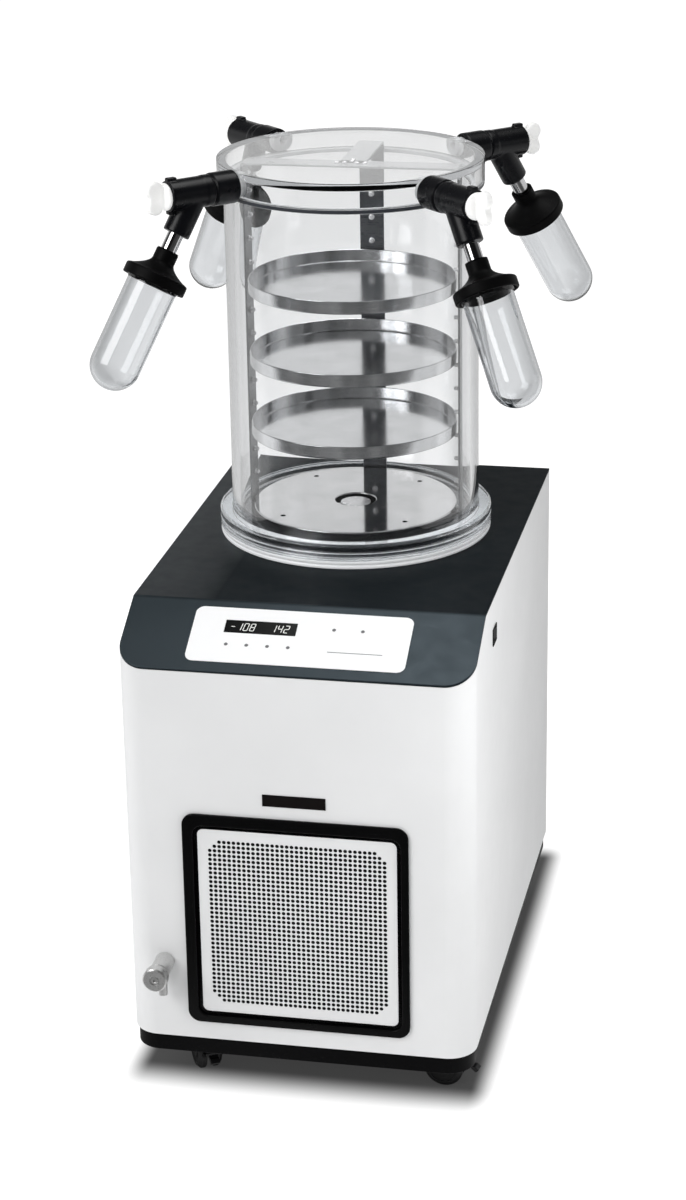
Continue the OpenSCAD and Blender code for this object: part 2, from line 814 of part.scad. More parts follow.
module rack_plate() {
    r = plate_d / 2;
    color(steel) at_chamber(plate_top - plate_rim_h) difference() {
        cylinder(r = r, h = plate_rim_h);
        translate([0, 0, -1]) cylinder(r = r - plate_t, h = plate_rim_h - plate_t + 1);
        cylinder(r = plate_hole_r, h = through);
        for (a = [50, 130, 225, 315]) rotate([0, 0, a]) translate([r - plate_bolt_in, 0, -5])
            cylinder(r = plate_bolt_r, h = through);
    }
}

module tray(i) {
    color(steel) at_chamber(tray_z[i]) difference() {
        cylinder(r = tray_r, h = tray_rim_h);
        translate([0, 0, tray_t]) cylinder(r = tray_r - tray_t, h = tray_rim_h);
    }
}

// ---------- Valves and flasks ----------

module valve_body(i) {
    color(rubber_black) difference() {
        union() {
            along_port(i) {
                translate([0, 0, valve_start]) cylinder(d = socket_d, h = socket_l);
                translate([0, 0, valve_start + socket_l - 1]) cylinder(d = barrel_d - 2, h = groove_l + 2);
                translate([0, 0, valve_start + socket_l + groove_l]) cylinder(d = barrel_d,
                    h = valve_l - socket_l - groove_l);
                // stop lugs above and below the knob end
                for (s = [-1, 1]) translate([s * (barrel_d / 2 + 0.6) - 2, -3.5, valve_end - 8])
                    cube([4, 7, 8]);
            }
            along_branch(i) cylinder(d = branch_d, h = branch_l);
        }
        along_port(i) {
            translate([0, 0, valve_start - 5]) cylinder(r = nipple_hub_r + slip_gap, h = 5 + hub_l + 1);
            translate([0, 0, valve_start]) cylinder(r = 5, h = valve_l - 8);
            translate([0, 0, plug_start]) cylinder(r = plug_r, h = valve_l);
        }
        along_branch(i) translate([0, 0, stem_in - 1]) cylinder(r = branch_bore_r, h = 60);
        along_branch(i) cylinder(r = 5, h = 60);
    }
}

module valve_knob(i) {
    disc_z = valve_end + seat_gap;
    lobe_r = (wing_l - 18) / 2;
    color(nylon_white) difference() {
        along_port(i) {
            translate([0, 0, plug_start + 2]) cylinder(r = plug_r - run_gap, h = disc_z - plug_start);
            translate([0, 0, disc_z]) cylinder(d = knob_d, h = knob_t - 1.5);
            translate([0, 0, disc_z + knob_t - 1.5]) cylinder(d1 = knob_d, d2 = knob_d - 5, h = 1.5);
            // wing with two lobes
            translate([0, 0, disc_z + knob_t - 2]) rotate([90, 0, 0]) linear_extrude(wing_t, center = true) {
                for (s = [-1, 1]) translate([s * (wing_l / 2 - lobe_r), wing_h - lobe_r + 2]) circle(lobe_r);
                polygon([[-knob_d / 2 + 2, 0], [knob_d / 2 - 2, 0], [wing_l / 2 - 0.4, wing_h - lobe_r],
                    [wing_l / 4, wing_h - 3], [0, wing_h - 5.5], [-wing_l / 4, wing_h - 3],
                    [0.4 - wing_l / 2, wing_h - lobe_r]]);
            }
        }
        // passage of the plug
        along_port(i) translate([0, 0, plug_start - 1]) cylinder(r = 4.2, h = 17);
        along_branch(i) cylinder(r = 4.2, h = 20);
    }
}

module flask_stems() {
    for (i = [0:3]) color(steel) along_branch(i) difference() {
        translate([0, 0, stem_in]) cylinder(d = stem_d, h = cap_start + neck_l + 4 - stem_in);
        cylinder(d = stem_d - 3, h = flask_end);
    }
}

module flask_cap(i) {
    shoulder_r = cap_d / 2;
    color(rubber_black) along_branch(i) translate([0, 0, cap_start]) difference() {
        rotate_extrude() difference() {
            union() {
                square([neck_d / 2, cap_l]);
                // concave flare from neck to rim, then a slightly tapered rim
                polygon(concat([[0, neck_l - 2]],
                    [for (t = [0:0.2:1]) [neck_d / 2 + (shoulder_r - 3 - neck_d / 2) * pow(t, 1.7),
                        neck_l - 2 + (flare_l + 2) * t]],
                    [[shoulder_r, neck_l + flare_l + 3], [shoulder_r, cap_l - 2], [shoulder_r - 1.5, cap_l],
                     [0, cap_l]]));
            }
            translate([-cap_d, -1]) square([cap_d, 2 * cap_l]);
        }
        translate([0, 0, cap_l - flask_in]) cylinder(d = flask_d + 2 * slip_gap, h = cap_l);
        translate([0, 0, -1]) cylinder(d = stem_d + 2 * slip_gap, h = neck_l + 6);
        cylinder(r = 5, h = 2 * cap_l);
    }
}

module flask(i) {
    r = flask_d / 2;
    straight = flask_end - r - flask_top;
    color(clear) along_branch(i) translate([0, 0, flask_top + 0.1]) difference() {
        union() {
            cylinder(r = r, h = straight);
            translate([0, 0, straight]) sphere(r);
        }
        translate([0, 0, -1]) cylinder(r = r - flask_wall, h = straight + 1);
        translate([0, 0, straight]) sphere(r - flask_wall);
    }
}

// ---------- Inside the cabinet ----------

module cold_trap() {
    color(steel) at_chamber(0) difference() {
        union() {
            translate([0, 0, trap_bottom]) cylinder(r = trap_r, h = collar_z - trap_bottom);
            translate([0, 0, cabinet_h + slip_gap])
                cylinder(r = collar_r, h = collar_z - cabinet_h - slip_gap);
        }
        translate([0, 0, trap_bottom + trap_wall]) cylinder(r = trap_r - trap_wall, h = cabinet_h);
        translate([0, 0, cabinet_h - 1]) ring(collar_r - trap_wall, trap_r, collar_z - trap_wall - cabinet_h + 1);
        // opening to the vacuum line
        translate([0, 0, kf_z]) rotate([-90, 0, 0]) cylinder(r = kf_bore_r, h = trap_r + 20);
    }
}

module trap_jacket() {
    color([0.15, 0.15, 0.16]) at_chamber(trap_bottom - jacket_floor) difference() {
        cylinder(r = trap_r + jacket_t, h = cabinet_h - cover_t - skirt_h - 4 - trap_bottom + jacket_floor);
        translate([0, 0, jacket_floor - slip_gap]) cylinder(r = trap_r + slip_gap, h = cabinet_h);
        translate([0, 0, kf_z - trap_bottom + jacket_floor]) rotate([-90, 0, 0])
            cylinder(r = kf_tube_r + seat_gap, h = cabinet_d);
    }
}

module vacuum_port() {
    start = trap_r + seat_gap;
    reach = back_y + port_reach - chamber_y;
    color(steel) at_chamber(kf_z) rotate([-90, 0, 0]) difference() {
        union() {
            translate([0, 0, start]) cylinder(r = kf_tube_r, h = reach - start);
            translate([0, 0, reach - 3]) cylinder(r = kf_r, h = 3);
            translate([0, 0, reach - 6.2]) cylinder(r1 = kf_tube_r, r2 = kf_r, h = 3.3);
        }
        cylinder(r = kf_bore_r, h = cabinet_d);
    }
}

module compressors() {
    for (s = [-1, 1]) color([0.1, 0.1, 0.11]) translate([s * comp_x, comp_y, floor_gap + pad_h + 0.2]) {
        cylinder(r = comp_r - 2, h = comp_h - 30);
        translate([0, 0, comp_h - 30.5]) cylinder(r1 = comp_r - 2, r2 = comp_r - 24, h = 24);
        translate([0, 0, 60]) cylinder(r = comp_r, h = 5);
        translate([0, 20, comp_h - 20]) cylinder(r = 5, h = 24);
    }
}

module condenser_core() {
    w = condenser_w;
    h = condenser_h;
    color([0.7, 0.7, 0.72]) translate([-w / 2, condenser_y, condenser_z + 0.2]) {
        for (k = [0:fin_count - 1]) translate([k * (w - fin_t) / (fin_count - 1), 0, 0])
            cube([fin_t, condenser_t, h]);
        for (k = [0:coil_count - 1]) translate([0, condenser_t / 2, coil_inset + k * (h - 2 * coil_inset) /
            (coil_count - 1)]) rotate([0, 90, 0]) cylinder(r = coil_r, h = w, $fn = 32);
    }
}

module fan_shroud() {
    w = condenser_w;
    h = condenser_h;
    ring_r = fan_r + 4;
    foot = 12;
    color([0.3, 0.31, 0.32]) translate([0, fan_y, fan_z]) rotate([90, 0, 0]) {
        difference() {
            translate([0, 0, -2]) linear_extrude(2) square([w, h], center = true);
            translate([0, 0, -5]) cylinder(r = ring_r, h = 20);
        }
        translate([0, 0, -fan_ring_l]) ring(ring_r + fan_ring_w, ring_r, fan_ring_l);
        // arms and motor
        difference() {
            union() {
                for (a = [45:90:315]) rotate([0, 0, a]) translate([motor_r / 2, -5, -fan_ring_l - 3])
                    cube([ring_r + 1 - motor_r / 2, 10, 3.5]);
                translate([0, 0, -motor_at]) cylinder(r = motor_r, h = motor_l);
            }
            translate([0, 0, -motor_l]) cylinder(r = shaft_r + run_gap, h = through);
        }
        // feet on the condenser
        for (x = [-1, 1], y = [-1, 1]) translate([x * (w - foot) / 2 - foot / 2, y * (h - foot) / 2 - foot / 2, -1])
            cube([foot, foot, fan_y - condenser_y - condenser_t + 0.7]);
    }
}

module fan_rotor() {
    color([0.18, 0.18, 0.19]) translate([0, fan_y, fan_z]) rotate([90, 0, 0]) {
        translate([0, 0, 2 - motor_l]) cylinder(r = shaft_r, h = motor_l - 4);
        translate([0, 0, -fan_hub_l - 3]) cylinder(r = fan_hub_r, h = fan_hub_l);
        for (k = [0:blade_count - 1]) rotate([0, 0, k * 360 / blade_count])
            translate([fan_hub_r * 0.7, 0, -3 - fan_hub_l / 2]) rotate([blade_tilt, 0, 0])
                translate([0, -blade_w / 2, -blade_t / 2]) cube([blade_l, blade_w, blade_t]);
    }
}

cabinet_shell();
rear_panel();
top_cover();
base_plinth();
grille_frame();
grille_panel();
control_overlay();
display_window();
switch_bezel();
power_rocker();
power_inlet();
drain_body();
drain_knob();
caster_plates();
for (i = [0:3]) caster_hood(i);
for (i = [0:3]) caster_wheels(i);
for (i = [0:1]) brake_pedal(i);
base_gasket();
chamber_flange();
chamber_tube();
head_seal();
chamber_head();
port_nipples();
rack_frame();
rack_pins();
rack_plate();
for (i = [0:2]) tray(i);
for (i = [0:3]) valve_body(i);
for (i = [0:3]) valve_knob(i);
flask_stems();
for (i = [0:3]) flask_cap(i);
for (i = [0:3]) flask(i);
cold_trap();
trap_jacket();
vacuum_port();
compressors();
condenser_core();
fan_shroud();
fan_rotor();
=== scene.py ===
# Laboratory freeze dryer: looks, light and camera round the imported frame. Lengths in metres.
import math
import bmesh
import bpy
from mathutils import Matrix, Vector


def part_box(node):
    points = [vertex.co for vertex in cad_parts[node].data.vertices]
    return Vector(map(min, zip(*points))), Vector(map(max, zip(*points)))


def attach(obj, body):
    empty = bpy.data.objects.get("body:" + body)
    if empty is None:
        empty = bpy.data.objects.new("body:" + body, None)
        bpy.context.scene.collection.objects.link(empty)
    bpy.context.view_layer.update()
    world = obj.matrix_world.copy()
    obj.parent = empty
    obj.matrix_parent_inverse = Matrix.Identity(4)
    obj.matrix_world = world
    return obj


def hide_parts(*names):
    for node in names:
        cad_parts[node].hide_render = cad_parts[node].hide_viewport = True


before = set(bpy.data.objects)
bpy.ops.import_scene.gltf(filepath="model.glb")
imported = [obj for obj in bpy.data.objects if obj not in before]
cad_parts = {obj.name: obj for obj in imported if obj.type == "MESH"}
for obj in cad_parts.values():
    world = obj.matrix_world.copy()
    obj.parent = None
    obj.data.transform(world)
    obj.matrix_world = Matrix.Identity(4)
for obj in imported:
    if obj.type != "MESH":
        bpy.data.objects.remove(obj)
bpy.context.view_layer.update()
print("frame loaded with", len(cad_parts), "nodes")


def at(x, y, z):
    return Matrix.Translation((x, y, z))


def spun(degrees, axis="Z"):
    return Matrix.Rotation(math.radians(degrees), 4, axis)


def middleOf(node):
    low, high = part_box(node)
    return (low + high) / 2


def clearPick():
    bpy.ops.object.select_all(action="DESELECT")


def only(piece):
    clearPick()
    piece.select_set(True)
    bpy.context.view_layer.objects.active = piece


def named(name):
    piece = bpy.context.object
    piece.name = piece.data.name = name
    return piece


def startEdit(piece, kind="FACE"):
    only(piece)
    bpy.ops.object.mode_set(mode="EDIT")
    bpy.ops.mesh.select_mode(type=kind)


def stopEdit():
    bpy.ops.object.mode_set(mode="OBJECT")


def pickAll():
    bpy.ops.mesh.select_all(action="SELECT")


# in edit mode, leaves selected only the faces, edges or vertices that pass the test
def pick(piece, kind, test):
    bpy.ops.mesh.select_mode(type=kind)
    bpy.ops.mesh.select_all(action="DESELECT")
    mesh = bmesh.from_edit_mesh(piece.data)
    for part in {"FACE": mesh.faces, "EDGE": mesh.edges, "VERT": mesh.verts}[kind]:
        if test(part):
            part.select_set(True)
    mesh.select_flush_mode()
    bmesh.update_edit_mesh(piece.data)


def shift(x, y, z):
    bpy.ops.transform.translate(value=(x, y, z))


def drawOut(x, y, z):
    bpy.ops.mesh.extrude_region_move(TRANSFORM_OT_translate={"value": (x, y, z)})


def bevelPicked(width, steps, affect="EDGES"):
    bpy.ops.mesh.bevel(offset=width, segments=steps, affect=affect)


def middle(edge):
    return (edge.verts[0].co + edge.verts[1].co) / 2


def runsAlong(edge, axis):
    way = (edge.verts[0].co - edge.verts[1].co).normalized()
    return abs(way[axis]) > 0.99


def applyModifier(piece, kind, **settings):
    only(piece)
    modifier = piece.modifiers.new(kind.lower(), kind)
    for name, value in settings.items():
        setattr(modifier, name, value)
    bpy.ops.object.modifier_apply(modifier=modifier.name)


def softEdges(piece, width, segments=3, angle=30):
    applyModifier(piece, "BEVEL", width=width, segments=segments, limit_method="ANGLE",
                  angle_limit=math.radians(angle))


# rounds a CAD node's edges without touching its mesh
def softNode(node, width):
    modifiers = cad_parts[node].modifiers
    modifiers.new("weld", "WELD").merge_threshold = 0.00001
    bevel = modifiers.new("softEdges", "BEVEL")
    bevel.width, bevel.segments = width, 2
    bevel.limit_method, bevel.angle_limit = "ANGLE", math.radians(40)
    bevel.harden_normals = True


# a block of the given size, its corners rounded along one axis
def block(name, size, centre, cornerRadius=0, axis=2, cornerSteps=8):
    clearPick()
    bpy.ops.mesh.primitive_cube_add(size=1, location=centre, scale=size)
    piece = named(name)
    bpy.ops.object.transform_apply(location=True, rotation=True, scale=True)
    if cornerRadius:
        startEdit(piece, "EDGE")
        pick(piece, "EDGE", lambda edge: runsAlong(edge, axis))
        bevelPicked(cornerRadius, cornerSteps)
        stopEdit()
    return piece


# a block between two corners, drawn in by a margin on all sides across the given axis
def blockBetween(name, low, high, margin, depth, depthMiddle, cornerRadius=0, cornerSteps=8):
    size = (high.x - low.x - 2 * margin, depth, high.z - low.z - 2 * margin)
    centre = ((low.x + high.x) / 2, depthMiddle, (low.z + high.z) / 2)
    return block(name, size, centre, cornerRadius, 1, cornerSteps)


def rod(name, radius, depth, centre=(0, 0, 0), turn=(0, 0, 0), steps=32):
    clearPick()
    bpy.ops.mesh.primitive_cylinder_add(vertices=steps, radius=radius, depth=depth, location=centre,
                                        rotation=turn)
    piece = named(name)
    bpy.ops.object.transform_apply(location=True, rotation=True, scale=True)
    return piece


# one vertex drawn out along the points; the piece stays in edit mode
def walked(name, points):
    clearPick()
    bpy.ops.mesh.primitive_plane_add(size=0.002)
    piece = named(name)
    startEdit(piece, "VERT")
    pickAll()
    bpy.ops.mesh.merge(type="CENTER")
    shift(*points[0])
    for here, there in zip(points, points[1:]):
        drawOut(*(b - a for a, b in zip(here, there)))
    pickAll()
    return piece


def closeEdit():
    pickAll()
    bpy.ops.mesh.normals_make_consistent(inside=False)
    stopEdit()


# the corners of an outline rounded by a radius
def rounded(outline, radius, steps=4, closed=False):
    points = [Vector(p) for p in outline]
    made = []
    for k, here in enumerate(points):
        before, after = points[k - 1], points[(k + 1) % len(points)]
        back, ahead = before - here, after - here
        isEnd = not closed and k in (0, len(points) - 1)
        opening = math.pi if isEnd else back.angle(ahead)
        if math.degrees(opening) > 176:
            made.append(tuple(here))
            continue
        reach = min(radius / math.tan(opening / 2), back.length * 0.49, ahead.length * 0.49)
        start, stop = here + back.normalized() * reach, here + ahead.normalized() * reach
        for t in (n / steps for n in range(steps + 1)):
            made.append(tuple(start * (1 - t) ** 2 + here * 2 * t * (1 - t) + stop * t ** 2))
    return made


# the outline (radius, height) with its corners rounded, spun round Z; a closed one is a ring's section
def turned(name, outline, steps, edge=0, edgeSteps=3, closed=False):
    if edge:
        outline = rounded(outline, edge, edgeSteps, closed)
    if closed:
        outline = [*outline, outline[0]]
    piece = walked(name, [(r, 0, z) for r, z in outline])
    bpy.ops.mesh.spin(steps=steps, angle=2 * math.pi, center=(0, 0, 0), axis=(0, 0, 1))
    pickAll()
    bpy.ops.mesh.remove_doubles(threshold=0.000001)
    closeEdit()
    return piece


# a solid disc or short rod between two heights
def puck(name, radius, low, high, steps, edge, edgeSteps=3):
    return turned(name, [(0, low), (radius, low), (radius, high), (0, high)], steps, edge, edgeSteps)


# the side view (y, z) drawn out across X, centred on it
def slab(name, outline, width):
    piece = walked(name, [(-width / 2, y, z) for y, z in outline])
    bpy.ops.mesh.edge_face_add()
    drawOut(width, 0, 0)
    closeEdit()
    return piece


def remove(*pieces):
    for piece in pieces:
        bpy.data.objects.remove(piece)


def cut(piece, *cutters, way="DIFFERENCE"):
    for cutter in cutters:
        applyModifier(piece, "BOOLEAN", object=cutter, operation=way, solver="EXACT")
        remove(cutter)


def joined(name, pieces):
    clearPick()
    for piece in pieces:
        piece.select_set(True)
    bpy.context.view_layer.objects.active = pieces[0]
    bpy.ops.object.join()
    return named(name)


def copied(piece, name="copy"):
    only(piece)
    bpy.ops.object.duplicate()
    return named(name)


# remembers each vertex's place in the piece's own axes, for patterns that follow the piece
def keepOwnPlace(piece):
    own = piece.data.attributes.new("ownPlace", "FLOAT_VECTOR", "POINT")
    own.data.foreach_set("vector", [c for vertex in piece.data.vertices for c in vertex.co])
    return piece


# carries the piece from its own axes into the frame and leaves its object at the origin
def settle(piece, place=None, smooth=38):
    only(piece)
    if place is not None:
        piece.matrix_world = place
    bpy.ops.object.transform_apply(location=True, rotation=True, scale=True)
    bpy.ops.object.shade_smooth_by_angle(angle=math.radians(smooth))
    return piece


# settles the piece unless smooth is 0, and gives it its finish and body and hides its CAD nodes; weighted
# normals keep long faces flat or evenly curved beside narrow rounded edges
def dress(piece, finish, slotName, *nodes, place=None, smooth=38, body="cabinet"):
    if smooth:
        settle(piece, place, smooth)
    applyModifier(piece, "WEIGHTED_NORMAL", weight=100, keep_sharp=True)
    piece.data.materials.clear()
    piece.data.materials.append(bpy.data.materials[finish])
    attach(piece, body)
    if nodes:
        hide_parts(*nodes)


def newFinish(name, colour, roughness, metallic=0.0, **sockets):
    finish = bpy.data.materials.new(name)
    finish.use_nodes = True
    inputs = shaderOf(finish).inputs
    inputs["Base Color"].default_value = (*colour, 1)
    inputs["Roughness"].default_value = roughness
    inputs["Metallic"].default_value = metallic
    for socket, value in sockets.items():
        inputs[socket.replace("_", " ")].default_value = value
    return finish


def shaderOf(finish):
    return finish.node_tree.nodes["Principled BSDF"]


def wire(owner, source, target):
    owner.node_tree.links.new(source, target)


# a value is a number, a tuple or another node's socket
def addNode(owner, kind, values, **settings):
    node = owner.node_tree.nodes.new("ShaderNode" + kind)
    for name, value in settings.items():
        setattr(node, name, value)
    for socket, value in values.items():
        if isinstance(value, bpy.types.NodeSocket):
            wire(owner, value, node.inputs[socket])
        else:
            node.inputs[socket].default_value = value
    return node


def maths(owner, operation, *values):
    return addNode(owner, "Math", dict(enumerate(values)), operation=operation).outputs[0]


def split(owner, vector):
    return addNode(owner, "SeparateXYZ", {0: vector}).outputs


# coordinates in the frame, or in the piece's own axes, stretched
def coordinates(finish, stretch=(1, 1, 1), own=False, centre=(0, 0, 0)):
    if own:
        source = addNode(finish, "Attribute", {}, attribute_name="ownPlace").outputs["Vector"]
    else:
        source = addNode(finish, "TexCoord", {}).outputs["Object"]
    return addNode(finish, "Mapping", {"Vector": source, "Location": [-c * s for c, s in zip(centre, stretch)],
                                       "Scale": stretch}).outputs["Vector"]


# radius, turn and height round the chamber's or the piece's own axis, so that a grain runs round the piece
def roundCoordinates(finish, own=False, stretch=(1, 1, 1)):
    x, y, z = split(finish, coordinates(finish, own=own, centre=(0, 0, 0) if own else (axisX, axisY, 0)))
    radius = maths(finish, "SQRT", maths(finish, "MULTIPLY_ADD", y, y, maths(finish, "MULTIPLY", x, x)))
    turn = maths(finish, "ARCTAN2", y, x)
    made = addNode(finish, "CombineXYZ", {0: radius, 1: turn, 2: z})
    return addNode(finish, "Mapping", {"Vector": made.outputs[0], "Scale": stretch}).outputs["Vector"]


def noise(finish, vector, scale, detail=3, roughness=0.5):
    return addNode(finish, "TexNoise", {"Vector": vector, "Scale": scale, "Detail": detail,
                                        "Roughness": roughness}).outputs["Fac"]


def spread(owner, value, fromLow, fromHigh, toLow=0, toHigh=1, kind="LINEAR"):
    return addNode(owner, "MapRange", {"Value": value, "From Min": fromLow, "From Max": fromHigh,
                                       "To Min": toLow, "To Max": toHigh},
                   interpolation_type=kind).outputs["Result"]


def mixedColour(finish, share, first, second):
    return addNode(finish, "Mix", {0: share, 6: first, 7: (*second, 1)}, data_type="RGBA").outputs[2]


# a second colour laid over the first where the share is high
def overColour(finish, share, colour):
    base = shaderOf(finish).inputs["Base Color"]
    wire(finish, mixedColour(finish, share, base.links[0].from_socket, colour), base)


def varyRoughness(finish, value, low, high):
    wire(finish, spread(finish, value, 0.3, 0.7, low, high), shaderOf(finish).inputs["Roughness"])


def addBump(finish, value, strength, distance):
    bump = addNode(finish, "Bump", {"Height": value, "Strength": strength, "Distance": distance})
    wire(finish, bump.outputs["Normal"], shaderOf(finish).inputs["Normal"])


# a colour that drifts with the cloud's value by a tone to both sides
def varyColour(finish, cloud, colour, tone):
    light = [min(1, c * (1 + tone)) for c in colour]
    dark = [c * (1 - tone) for c in colour]
    mixed = mixedColour(finish, spread(finish, cloud, 0.3, 0.7), (*dark, 1), light)
    wire(finish, mixed, shaderOf(finish).inputs["Base Color"])


# paint with a fine orange peel and a faint uneven tone
def paintedFinish(name, colour, roughness, peel=0.12, peelScale=900, **sockets):
    finish = newFinish(name, colour, roughness, **sockets)
    vector = coordinates(finish)
    varyColour(finish, noise(finish, vector, 7, 4), colour, tone=0.03)
    varyRoughness(finish, noise(finish, vector, 60, 4), roughness - 0.04, roughness + 0.05)
    addBump(finish, noise(finish, vector, peelScale, 2), peel, 0.0002)
    return finish


# moulded plastic or rubber: fine spark grain, slight handling marks
def mouldedFinish(name, colour, roughness, grain=0.15, grainScale=1400, mark=0.06, tone=0.1, **sockets):
    finish = newFinish(name, colour, roughness, **sockets)
    vector = coordinates(finish)
    smear = noise(finish, vector, 45, 5, 0.6)
    varyColour(finish, smear, colour, tone)
    varyRoughness(finish, smear, roughness - mark, roughness + mark)
    addBump(finish, noise(finish, vector, grainScale, 2), grain, 0.00015)
    return finish


def steelFinish(finish, lines, cloud, colour, tone, roughness, grain):
    varyColour(finish, cloud, colour, tone)
    varyRoughness(finish, lines, max(0.02, roughness - 0.05), roughness + 0.07)
    addBump(finish, lines, grain, 0.00004)
    return finish


# metal whose grain runs round an upright axis
def turnedSteel(name, colour, roughness, own=False, grain=0.1, fine=1600, metallic=1.0):
    finish = newFinish(name, colour, roughness, metallic)
    lines = noise(finish, roundCoordinates(finish, own, (fine, 3.0, fine)), 1.0, 3, 0.6)
    cloud = noise(finish, coordinates(finish, own=own), 25, 4, 0.55)
    return steelFinish(finish, lines, cloud, colour, 0.06, roughness, grain)


# sheet metal with a straight rolled grain
def rolledSteel(name, colour, roughness, stretch=(60, 60, 1500), grain=0.08, tone=0.05, metallic=1.0):
    finish = newFinish(name, colour, roughness, metallic)
    lines = noise(finish, coordinates(finish, stretch), 1.0, 3, 0.6)
    cloud = noise(finish, coordinates(finish), 18, 4, 0.55)
    return steelFinish(finish, lines, cloud, colour, tone, roughness, grain)


# clear wall that bends light for the eye, lets the lamps through and greys where the way through it is long
def clearFinish(name, colour, bending, depth, wave, waveScale=14, haze=0.012, own=False):
    finish = newFinish(name, colour, 0.0, IOR=bending, Transmission_Weight=1.0)
    vector = coordinates(finish, own=own)
    varyRoughness(finish, noise(finish, vector, 30, 5, 0.6), 0.0, haze)
    addBump(finish, noise(finish, vector, waveScale, 1), wave, 0.001)
    forLamps = addNode(finish, "LightPath", {}).outputs["Is Shadow Ray"]
    through = addNode(finish, "BsdfTransparent", {"Color": (*[c ** 0.5 for c in colour], 1)})
    mixed = addNode(finish, "MixShader", {0: forLamps, 1: shaderOf(finish).outputs[0], 2: through.outputs[0]})
    inWall = addNode(finish, "VolumeAbsorption", {"Color": (0, 0.08, 0.16, 1), "Density": depth})
    output = finish.node_tree.nodes["Material Output"]
    wire(finish, mixed.outputs[0], output.inputs["Surface"])
    wire(finish, inWall.outputs[0], output.inputs["Volume"])
    return finish


axisX, axisY = middleOf("chamber_tube").xy
onAxis = at(axisX, axisY, 0)
# steps round the turned pieces
chamberSteps, rackSteps, flaskSteps, portSteps, smallSteps, pinSteps = 192, 160, 128, 72, 64, 24

# where a finish changes over its piece: two places, and the values there if they aren't 0 and 1
change = {"coverLeft": (-0.16, -0.09, 0.5, 0.02), "coverSlope": (-0.184, -0.18, 0.75, 0.02),
          "sealLip": (0.1286, 0.129), "trayWall": (0.1005, 0.1015), "paintedReflections": (0.38, 0.66),
          "skin": (0.0014, 0.0009), "strap": 0.004, "strapFade": 0.001}
paintedFinish("whitePaint", (0.8, 0.805, 0.81), 0.36, peel=0.1)
# painted sheen: the dark cover's specular level is raised on its slope and at its left, where the window is,
# and kept low on the rest of its flat top
darkPaint = paintedFinish("darkPaint", (0.008, 0.0112, 0.0136), 0.36, peel=0.1, peelScale=1300,
                          Specular_Tint=(0.7, 0.88, 1.0, 1.0))
coverX, coverY = split(darkPaint, coordinates(darkPaint))[:2]
paintedSheen = maths(darkPaint, "MAXIMUM", spread(darkPaint, coverX, *change["coverLeft"]),
              spread(darkPaint, coverY, *change["coverSlope"]))
wire(darkPaint, paintedSheen, shaderOf(darkPaint).inputs["Specular IOR Level"])
paintedFinish("compressorBlack", (0.012, 0.012, 0.013), 0.4, peel=0.2, peelScale=500)

mouldedFinish("plinthBlack", (0.0028, 0.0028, 0.0031), 0.5, Specular_IOR_Level=0.06)
mouldedFinish("surroundBlack", (0.0025, 0.0025, 0.0027), 0.24, grain=0.05, mark=0.04, Specular_IOR_Level=0.12)
mouldedFinish("plasticBlack", (0.0035, 0.0035, 0.0038), 0.42, Specular_IOR_Level=0.14)
mouldedFinish("treadGrey", (0.006, 0.006, 0.0064), 0.6, grain=0.25, grainScale=700)
mouldedFinish("pedalGrey", (0.006, 0.006, 0.0065), 0.45)
# painted light: the overlay film glows faintly, though it is no lamp, so that it renders brighter
mouldedFinish("overlayFilm", (0.93, 0.935, 0.94), 0.38, grain=0.03, mark=0.03, tone=0.006,
              Emission_Color=(1, 1, 1, 1), Emission_Strength=0.03)
mouldedFinish("displayGlass", (0.003, 0.0035, 0.0035), 0.14, grain=0.0, mark=0.03, Specular_IOR_Level=0.15)
mouldedFinish("rubberBlack", (0.003, 0.0033, 0.0045), 0.28, grain=0.04, grainScale=1800, mark=0.04,
              Specular_IOR_Level=0.27)
mouldedFinish("capRubber", (0.0018, 0.0018, 0.002), 0.5, grain=0.12, grainScale=1500, Specular_IOR_Level=0.08)
# painted light: the white nylon glows faintly, though it is no lamp, so that the knobs render brighter
mouldedFinish("nylonWhite", (0.97, 0.97, 0.96), 0.36, grain=0.04, mark=0.04, tone=0.01,
              Emission_Color=(1, 1, 1, 1), Emission_Strength=0.06, Subsurface_Weight=0.06,
              Subsurface_Radius=(0.004, 0.004, 0.0035), Subsurface_Scale=1.0)
mouldedFinish("nippleWhite", (0.93, 0.94, 0.95), 0.4, grain=0.05, mark=0.05, tone=0.01,
              Transmission_Weight=0.6, IOR=1.3)
# painted light: the silicone gasket glows faintly, standing for light carried in through the clear flange
mouldedFinish("siliconeWhite", (0.93, 0.95, 0.965), 0.34, grain=0.0, mark=0.05, tone=0.015,
              Emission_Color=(0.97, 0.98, 1, 1), Emission_Strength=0.06, Subsurface_Weight=0.1,
              Subsurface_Radius=(0.006, 0.006, 0.006), Subsurface_Scale=1.0)
mouldedFinish("foamDark", (0.004, 0.004, 0.0044), 0.85, grain=0.6, grainScale=350)
mouldedFinish("shroudDark", (0.03, 0.031, 0.033), 0.5)
mouldedFinish("printGrey", (0.14, 0.14, 0.145), 0.5, grain=0.0)
mouldedFinish("badgeBlack", (0.006, 0.0045, 0.0043), 0.35, grain=0.04, Specular_IOR_Level=0.2)
newFinish("digitLight", (0.6, 0.6, 0.58), 0.5, Emission_Color=(1, 1, 0.97, 1), Emission_Strength=0.3)

# the seal's outer lip is dark
seal = mouldedFinish("sealRubber", (0.5, 0.51, 0.52), 0.4, grain=0.08, tone=0.03)
sealRadius = split(seal, roundCoordinates(seal))[0]
overColour(seal, spread(seal, sealRadius, *change["sealLip"]), (0.03, 0.034, 0.042))

